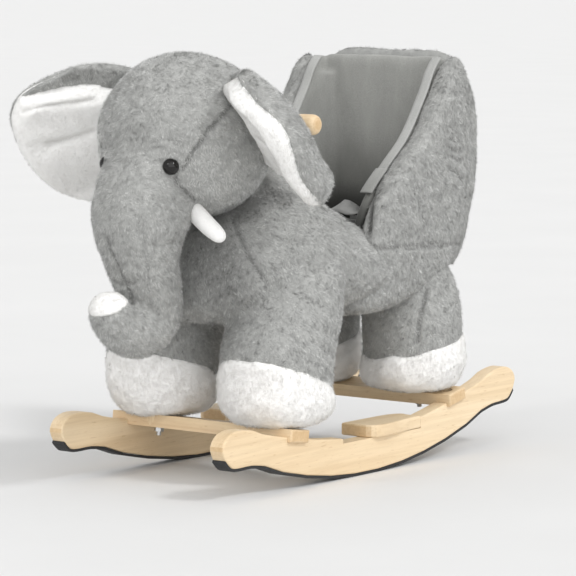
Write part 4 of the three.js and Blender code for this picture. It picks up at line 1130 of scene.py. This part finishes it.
shell = stuffed(
    "seat_plush",
    [squarish_loft(TUB, TUB_SQUARENESS), squarish_loft(BACK, BACK_SQUARENESS)]
    + [wing_form(side, WING_INNER, WING_OUTER, flat=-side) for side in SIDES.values()]
    + [ellipsoid(SEAT_CORNER * np.array([side, 1, 1]), SEAT_CORNER_HALF, around=36, rows=18)
       for side in SIDES.values()],
    3.2, 10, (55, 2.0, 61), (17, 0.5, 62))
shell_tree = tree_of(shell)
shell_lines = both_sides(shell_tree, [TUB_SEAM])
folds = both_sides(shell_tree, SEAT_FOLDS)
shadowed_gaps = both_sides(shell_tree, [SEAT_GAP])
# The tub seam is drawn in; the folds and the gap are drawn in and darkened with painted shade
shell_seam_and_shade = 0.4 * stitch(shell, shell_lines, 2.8, 3.0)
shell_seam_and_shade = np.maximum(shell_seam_and_shade, 0.5 * stitch(shell, folds, 2.4, 3.0))
shell_seam_and_shade = np.maximum(shell_seam_and_shade, stitch(shell, shadowed_gaps, 3.0, 6.0))
grey_cover(shell, shell_seam_and_shade, "seat_tub", "seat_back", "seat_wing_left", "seat_wing_right")


# Lining of the seat
def wing_front(z):
    """How far forward the front edge of a wing lies at this height."""
    front = np.array(WING[:WING_FRONT_POINTS], float)
    return np.interp(z, front[:, 1], front[:, 0])


def corner_form(side):
    """The lining's rounded corner, which stays behind the front edge of the wing all the way up."""
    rings = []
    for z in np.linspace(*CORNER_HEIGHTS, 28):
        front = wing_front(z) + CORNER_SETBACK
        rings.append(np.array([(side * x, max(y, front), z) for x, y in LINING_CORNER]))
    return soft_form(rings)


lining = stuffed(
    "seat_velour",
    [wing_form(side, LINING_INNER, LINING_OUTER, rounding=0.05, power=2.0, inset=LINING_INSET)
     for side in SIDES.values()]
    + [squarish_loft(BACK_LINING, BACK_LINING_SQUARENESS), corner_form(1), corner_form(-1)],
    2.6, 8, (45, 1.0, 71))
mark_seam_and_shade(lining, 0.0)
dress(lining, LINING, "grey_lining", "seat_lining")


# Seat cushion, blown up by a cloth simulation
def inflate(obj, pressure, frames, cap):
    """Blows the form up. No vertex moves further than cap."""
    rest = coords(obj.data)
    cloth = obj.modifiers.new("cloth", "CLOTH")
    cloth.settings.use_pressure = True
    cloth.settings.uniform_pressure_force = pressure
    cloth.settings.effector_weights.gravity = 0
    cloth.settings.quality = 5
    cloth.point_cache.frame_start = 1
    cloth.point_cache.frame_end = frames
    scene = bpy.context.scene
    for frame_number in range(1, frames + 1):
        scene.frame_set(frame_number)
    graph = bpy.context.evaluated_depsgraph_get()
    grown = obj.evaluated_get(graph).to_mesh()
    moved = coords(grown) - rest
    obj.evaluated_get(graph).to_mesh_clear()
    obj.modifiers.clear()
    scene.frame_set(1)
    far = np.linalg.norm(moved, axis=1, keepdims=True)
    set_coords(obj.data, rest + moved * np.minimum(1, cap * MM / np.maximum(far, 1e-9)))


cushion = fuse("seat_cushion_velour", [squarish_loft(CUSHION, CUSHION_SQUARENESS)], 5.0, 4)
inflate(cushion, pressure=4.0, frames=20, cap=5.0)
subdivide = cushion.modifiers.new("subdivide", "SUBSURF")
subdivide.levels = 1
subdivide.render_levels = 1
apply_modifiers(cushion)
co = coords(cushion.data)
co[:, 2] = np.maximum(co[:, 2], (CUSHION_UNDERSIDE + SHIFT[2]) * MM)
set_coords(cushion.data, co)
channels = []
for y in CHANNEL_PLACES:
    xs = np.linspace(-CHANNEL_HALF, CHANNEL_HALF, 60)
    channels.append(in_frame([(x, y, CHANNEL_HEIGHT) for x in xs]))
mark_seam_and_shade(cushion, stitch(cushion, channels, 3.0, 3.0))
cushion.data.shade_smooth()
dress(cushion, LINING, "grey_lining", "seat_cushion")

# Ears: a stuffed grey flap with a white face let into its front. The darts are traced on the right one.
# For each ear: how high the white face's top lies, how much painted shade darkens its darts, how deep these
# are drawn in, and the middle tone of its white pile, lighter on the right ear and darker on the left as
# painted light and painted shade
EAR_FACES = {
    "right": dict(top=0.12, dart_shade=0.45, dart_depth=6.0, tone=0.8),
    "left": dict(top=0.0, dart_shade=0.1, dart_depth=2.0, tone=0.1),
}
# How high the rear of the white face lies, and the share of the ear that the face takes
FACE_REAR, FACE_SHARE = 1.0, dict(high=FACE_EDGE, top=0.04, bottom=FACE_EDGE)
ears = {}
for name, look in EAR_FACES.items():
    side = SIDES[name]
    front, back = (ear_grid(side, layer) for layer in (ear_front, ear_back))
    outer = piece_from("ear_plush_" + name, [flap(front, back)])
    front = ear_grid(side, lambda u, v: ear_white(u, v, look["top"]), **FACE_SHARE)
    back = ear_grid(side, lambda u, v: FACE_REAR, **FACE_SHARE)
    inner = piece_from("ear_fleece_" + name, [flap(front, back)])
    weld(outer)
    lumps(outer, 40, 1.0, 81)
    lumps(inner, 34, 1.2, 82)
    if name == "right":
        inner_tree = tree_of(inner)
        darts = [trace(inner_tree, pixels) for pixels in EAR_DARTS]
    else:
        darts = [mirrored(line) for line in darts]
    grey_cover(outer, 0.0, "ear_" + name, room=1.2)
    # The darts are drawn in and darkened with painted shade
    dart_painted_shade = look["dart_shade"] * stitch(inner, darts, 3.6, look["dart_depth"])
    white_cover(inner, dart_painted_shade, "ear_lining_" + name)
    ears[name] = (outer, inner)

# End of the trunk
tip = stuffed("trunk_end_fleece", [limb(TRUNK[-2:] + TRUNK_TIP, dense=24)], 2.2, 8, (14, 0.35, 91))
sink_where(tip, -over_cap_plane(coords(tip.data)) / 1.5, 4.5)
white_cover(tip, 0.0, "trunk_tip")


# Tusks
def tusk_form(side, around=36):
    base, end = np.array(TUSK_ROOT) * [side, 1, 1], np.array(TUSK_TIP) * [side, 1, 1]
    way = unit(end - base)
    across = unit(np.cross([0, 1, 0], way))
    along = np.cross(way, across)
    c, s = circle(around)
    rings = []
    for t, share in spline(TUSK_TAPER, 30):
        radius = TUSK_RADIUS * share
        bow = np.array([0, 0, -TUSK_BOW * math.sin(math.pi * t)])
        rings.append(base + (end - base) * t + bow + radius * (np.outer(c, across) + np.outer(s, along)))
    return soft_form(rings)


for name, side in SIDES.items():
    tusk = piece_from("tusk_velvet_" + name, [tusk_form(side)])
    lumps(tusk, 14, 0.35, 95)
    dress(tusk, TUSK, "white_fleece", "tusk_" + name)

# Eyes
for name, centre in EYES.items():
    eye = piece_from("eye_bead_" + name, [ellipsoid(centre, (EYE_RADIUS,) * 3, around=48, rows=24)])
    dress(eye, GLOSS, "eye_gloss", "eye_" + name)


# Lap belt, edge strips of the lining and belt loops
def ribbon(name, path, rolls, width, thickness, steps=64, across=None):
    """A flat band along a path. across is the way its width runs, where that is the same all along."""
    line = spline(path, steps)
    roll = np.radians(spline([[r, 0] for r in rolls], steps)[:, 0])
    rings = []
    for i in range(steps):
        way = unit(line[min(i + 1, steps - 1)] - line[max(i - 1, 0)])
        side = unit(np.cross([0, 0, 1], way)) if across is None else np.array(across, float)
        up = np.cross(way, side)
        out = side * math.cos(roll[i]) + up * math.sin(roll[i])
        over = np.cross(way, out)
        rings.append([line[i] + out * a * width / 2 + over * b * thickness for a, b in BAND_SECTION])
    return piece_from(name, [soft_form(rings)])


def wing_edge(side, first, last, lift):
    """Points along the front edge of a wing's lining. lift is how far over it the first and last lie."""
    rim = closed_outline(WING, RIM_STEPS)
    middle = rim.mean(0)
    points = []
    for k in range(first, last + 1):
        away = unit(rim[k] - middle)
        over = lift[0] + (lift[1] - lift[0]) * (k - first) / (last - first)
        y, z = rim[k] + away * (over - LINING_INSET)
        points.append([side * (LINING_INNER + LINING_OUTER) / 2, y, z])
    return points


for name, side in SIDES.items():
    binding_path = wing_edge(side, 17, 47, (1.0, 0.4))
    binding = ribbon("seat_binding_" + name, binding_path, [0, 0], 13, 1.2, across=(1, 0, 0))
    loop_path = wing_edge(side, 14, 20, (6.0, 2.2))
    loop = ribbon("belt_loop_" + name, loop_path, [0, 0], 17, 1.4, steps=24, across=(1, 0, 0))
    for strip, path, wide in ((binding, binding_path, 0.013), (loop, loop_path, 0.017)):
        dress(strip, BINDING, "grey_lining")

for name, (belt_path, rolls) in BELTS.items():
    belt = ribbon("belt_satin_" + name, belt_path, rolls, 25, 1.6)
    dress(belt, WEBBING, "satin_webbing", "belt_" + name)


# Handle bar, turned
def handle_form(around=64):
    c, s = circle(around)
    other_end = [(-reach, radius) for reach, radius in reversed(HANDLE_TURNING[1:])]
    rings = []
    for reach, radius in other_end + HANDLE_TURNING:
        x = np.full(around, float(reach))
        rings.append(np.stack([x, HANDLE_Y + radius * c, HANDLE_Z + radius * s], 1))
    return soft_form(rings)


handle = piece_from("handle_wood", [handle_form()])
dress(handle, WOOD_X, "wood", "handle_bar")

# Tail
tail = fuse("tail_plush", [limb(TAIL, around=32, dense=30)], 2.4, 4)
grey_cover(tail, 0.0, "tail", room=0)


# Pile on the soft forms
def down_and_back(place):
    side = np.sign(place[:, :1])
    return np.concatenate([0.25 * side, np.full((len(place), 1), 0.4), np.full((len(place), 1), -1.0)], 1)


def down(place):
    return np.array([0.0, 0.12, -1.0])


def grey_pile(name, base, *args, **kwargs):
    dress(pile(name, base, *args, **kwargs), GREY_PILE, "grey_plush")


def white_pile(name, base, *args, **kwargs):
    dress(pile(name, base, *args, **kwargs), WHITE_PILE, "white_fleece")


def behind_lining(co, no):
    """Where the cover of the seat lies under the lining or the cushion."""
    x, y, z = in_model(co).T
    wing_face = (no[:, 0] * np.sign(x) < -0.55) & (y < 187) & (z > 268) & (np.abs(x) > 88)
    back_face = (no[:, 1] < -0.5) & (np.abs(x) < 98) & (y > 150)
    floor_face = (no[:, 2] > 0.5) & (np.abs(x) < 96) & (z < 285) & (y > -6) & (y < 190)
    return wing_face | back_face | floor_face


grey_of_face = np.where(over_cap_plane(coords(face.data)) > 0.5, 0.0, 1.0)
# The face's pile is a lighter grey than the body's, as painted light; it gets painted shade along the
# wrinkles, under the cheek and at the trunk's corner, and painted light on the cheek
grey_pile("face_pile", face, 110000, 4.6, 0.62, down_and_back, 101, lines=face_lines, keep=grey_of_face,
          shade=[(wrinkles, 1.7, 0.42), (bridge, 1.2, 0.15), (cheek_light, 30.0, -0.26), (under_cheek_shade, 13.0, 0.3),
                 (trunk_corner_shade, 3.0, 0.7)], middle_tone=0.62)
# Painted shade darkens the body's pile along the shoulder and on the chest and neck
grey_pile("body_pile", body, 150000, 4.8, 0.66, down_and_back, 102, lines=body_lines,
          shade=[(shoulder, 2.0, 0.16), (chest_shade, CHEST_SHADE_REACH, 0.22), (neck_shade, NECK_SHADE_REACH, 0.5)])
open_shell = np.where(behind_lining(coords(shell.data), vertex_normals(shell.data)), 0.0, 1.0)
# Along the gap the blades are short and dark as painted shade; painted shade darkens them along the folds,
# and the tub seam darkens them too
grey_pile("seat_pile", shell, 150000, 4.6, 0.66, down, 103, lines=shadowed_gaps, narrow=2.0, keep=open_shell,
          mottle=0.22, stray=0.8, shade=[(shell_lines, 1.6, 0.3), (folds, 2.0, 0.35)])
for name, leg in rear_legs.items():
    grey_pile("rear_leg_pile_" + name, leg, 24000, 5.0, 0.66, down, 104, lines=[rear_lines[name]])
for place, foot in feet.items():
    white_pile("foot_pile_" + place, foot, 26000, 4.2, 0.8, down, 105, lean=0.8, stray=1.0, mottle=0.06,
               tuft=6.0, clump=0.16, calm=0.45)
for name, (outer, inner) in ears.items():
    # The grey of the ears' pile is lighter than the body's, as painted light; the white faces are painted
    # lighter on the right ear and darker on the left
    grey_pile("ear_pile_" + name, outer, 34000, 4.8, 0.62, down_and_back, 106, middle_tone=0.64)
    white_pile("ear_fleece_pile_" + name, inner, 30000, 3.4, 0.6, down_and_back, 107, stray=0.8, mottle=0.06,
               calm=0.5, middle_tone=EAR_FACES[name]["tone"])
white_of_tip = np.where(over_cap_plane(coords(tip.data)) > 0.0, 1.0, 0.0)
white_pile("trunk_end_pile", tip, 5000, 2.6, 0.6, down, 108, lean=0.85, stray=0.8, mottle=0.05,
           keep=white_of_tip, clump=0.2, calm=0.5, middle_tone=0.1)
grey_pile("tail_pile", tail, 7000, 4.8, 0.62, down, 109)


# CAD nodes that stay get rounded edges and their materials
def smooth_group(angle_limit=32):
    tree = bpy.data.node_groups.new("smooth_by_angle", "GeometryNodeTree")
    tree.interface.new_socket("Geometry", in_out="INPUT", socket_type="NodeSocketGeometry")
    tree.interface.new_socket("Geometry", in_out="OUTPUT", socket_type="NodeSocketGeometry")
    start, end = node(tree, "NodeGroupInput"), node(tree, "NodeGroupOutput")
    angle = node(tree, "GeometryNodeInputMeshEdgeAngle").outputs["Unsigned Angle"]
    flat = node(tree, "FunctionNodeCompare", {0: angle, 1: math.radians(angle_limit)},
                data_type="FLOAT", operation="LESS_EQUAL")
    faces = node(tree, "GeometryNodeSetShadeSmooth", {"Geometry": start.outputs[0]}, domain="FACE")
    edges = node(tree, "GeometryNodeSetShadeSmooth",
                 {"Geometry": faces.outputs[0], "Shade Smooth": flat.outputs["Result"]}, domain="EDGE")
    tree.links.new(edges.outputs[0], end.inputs[0])
    return tree


SMOOTH = smooth_group()


def round_edges(obj, width, segments=2, angle=38):
    if width:
        bevel = obj.modifiers.new("rounded", "BEVEL")
        bevel.width = width * MM
        bevel.segments = segments
        bevel.limit_method = "ANGLE"
        bevel.angle_limit = math.radians(angle)
    smooth = obj.modifiers.new("smooth", "NODES")
    smooth.node_group = SMOOTH


# How the names of the nodes that stay begin, with their material and the width of their rounded edges
STAYS = (
    ("runner_", WOOD_Y, 2.6), ("footrest_", WOOD_Y, 1.2), ("front_crossbar", WOOD_X, 1.2),
    ("rear_crossbar", WOOD_X, 1.2), ("leg_post_", WOOD_Z, 0), ("seat_board", PLYWOOD, 1.0),
    ("head_board", PLYWOOD, 1.0), ("back_board", PLYWOOD, 1.0), ("grip_strip_", RUBBER, 0),
    ("stop_button_", RUBBER, 0.6), ("crossbar_screw_", STEEL, 0), ("leg_bolt_", STEEL, 0),
    ("leg_nut_", STEEL, 0.4),
)
for name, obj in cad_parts.items():
    for start, material, width in STAYS:
        if name.startswith(start):
            obj.data.materials.clear()
            obj.data.materials.append(material)
            round_edges(obj, width)
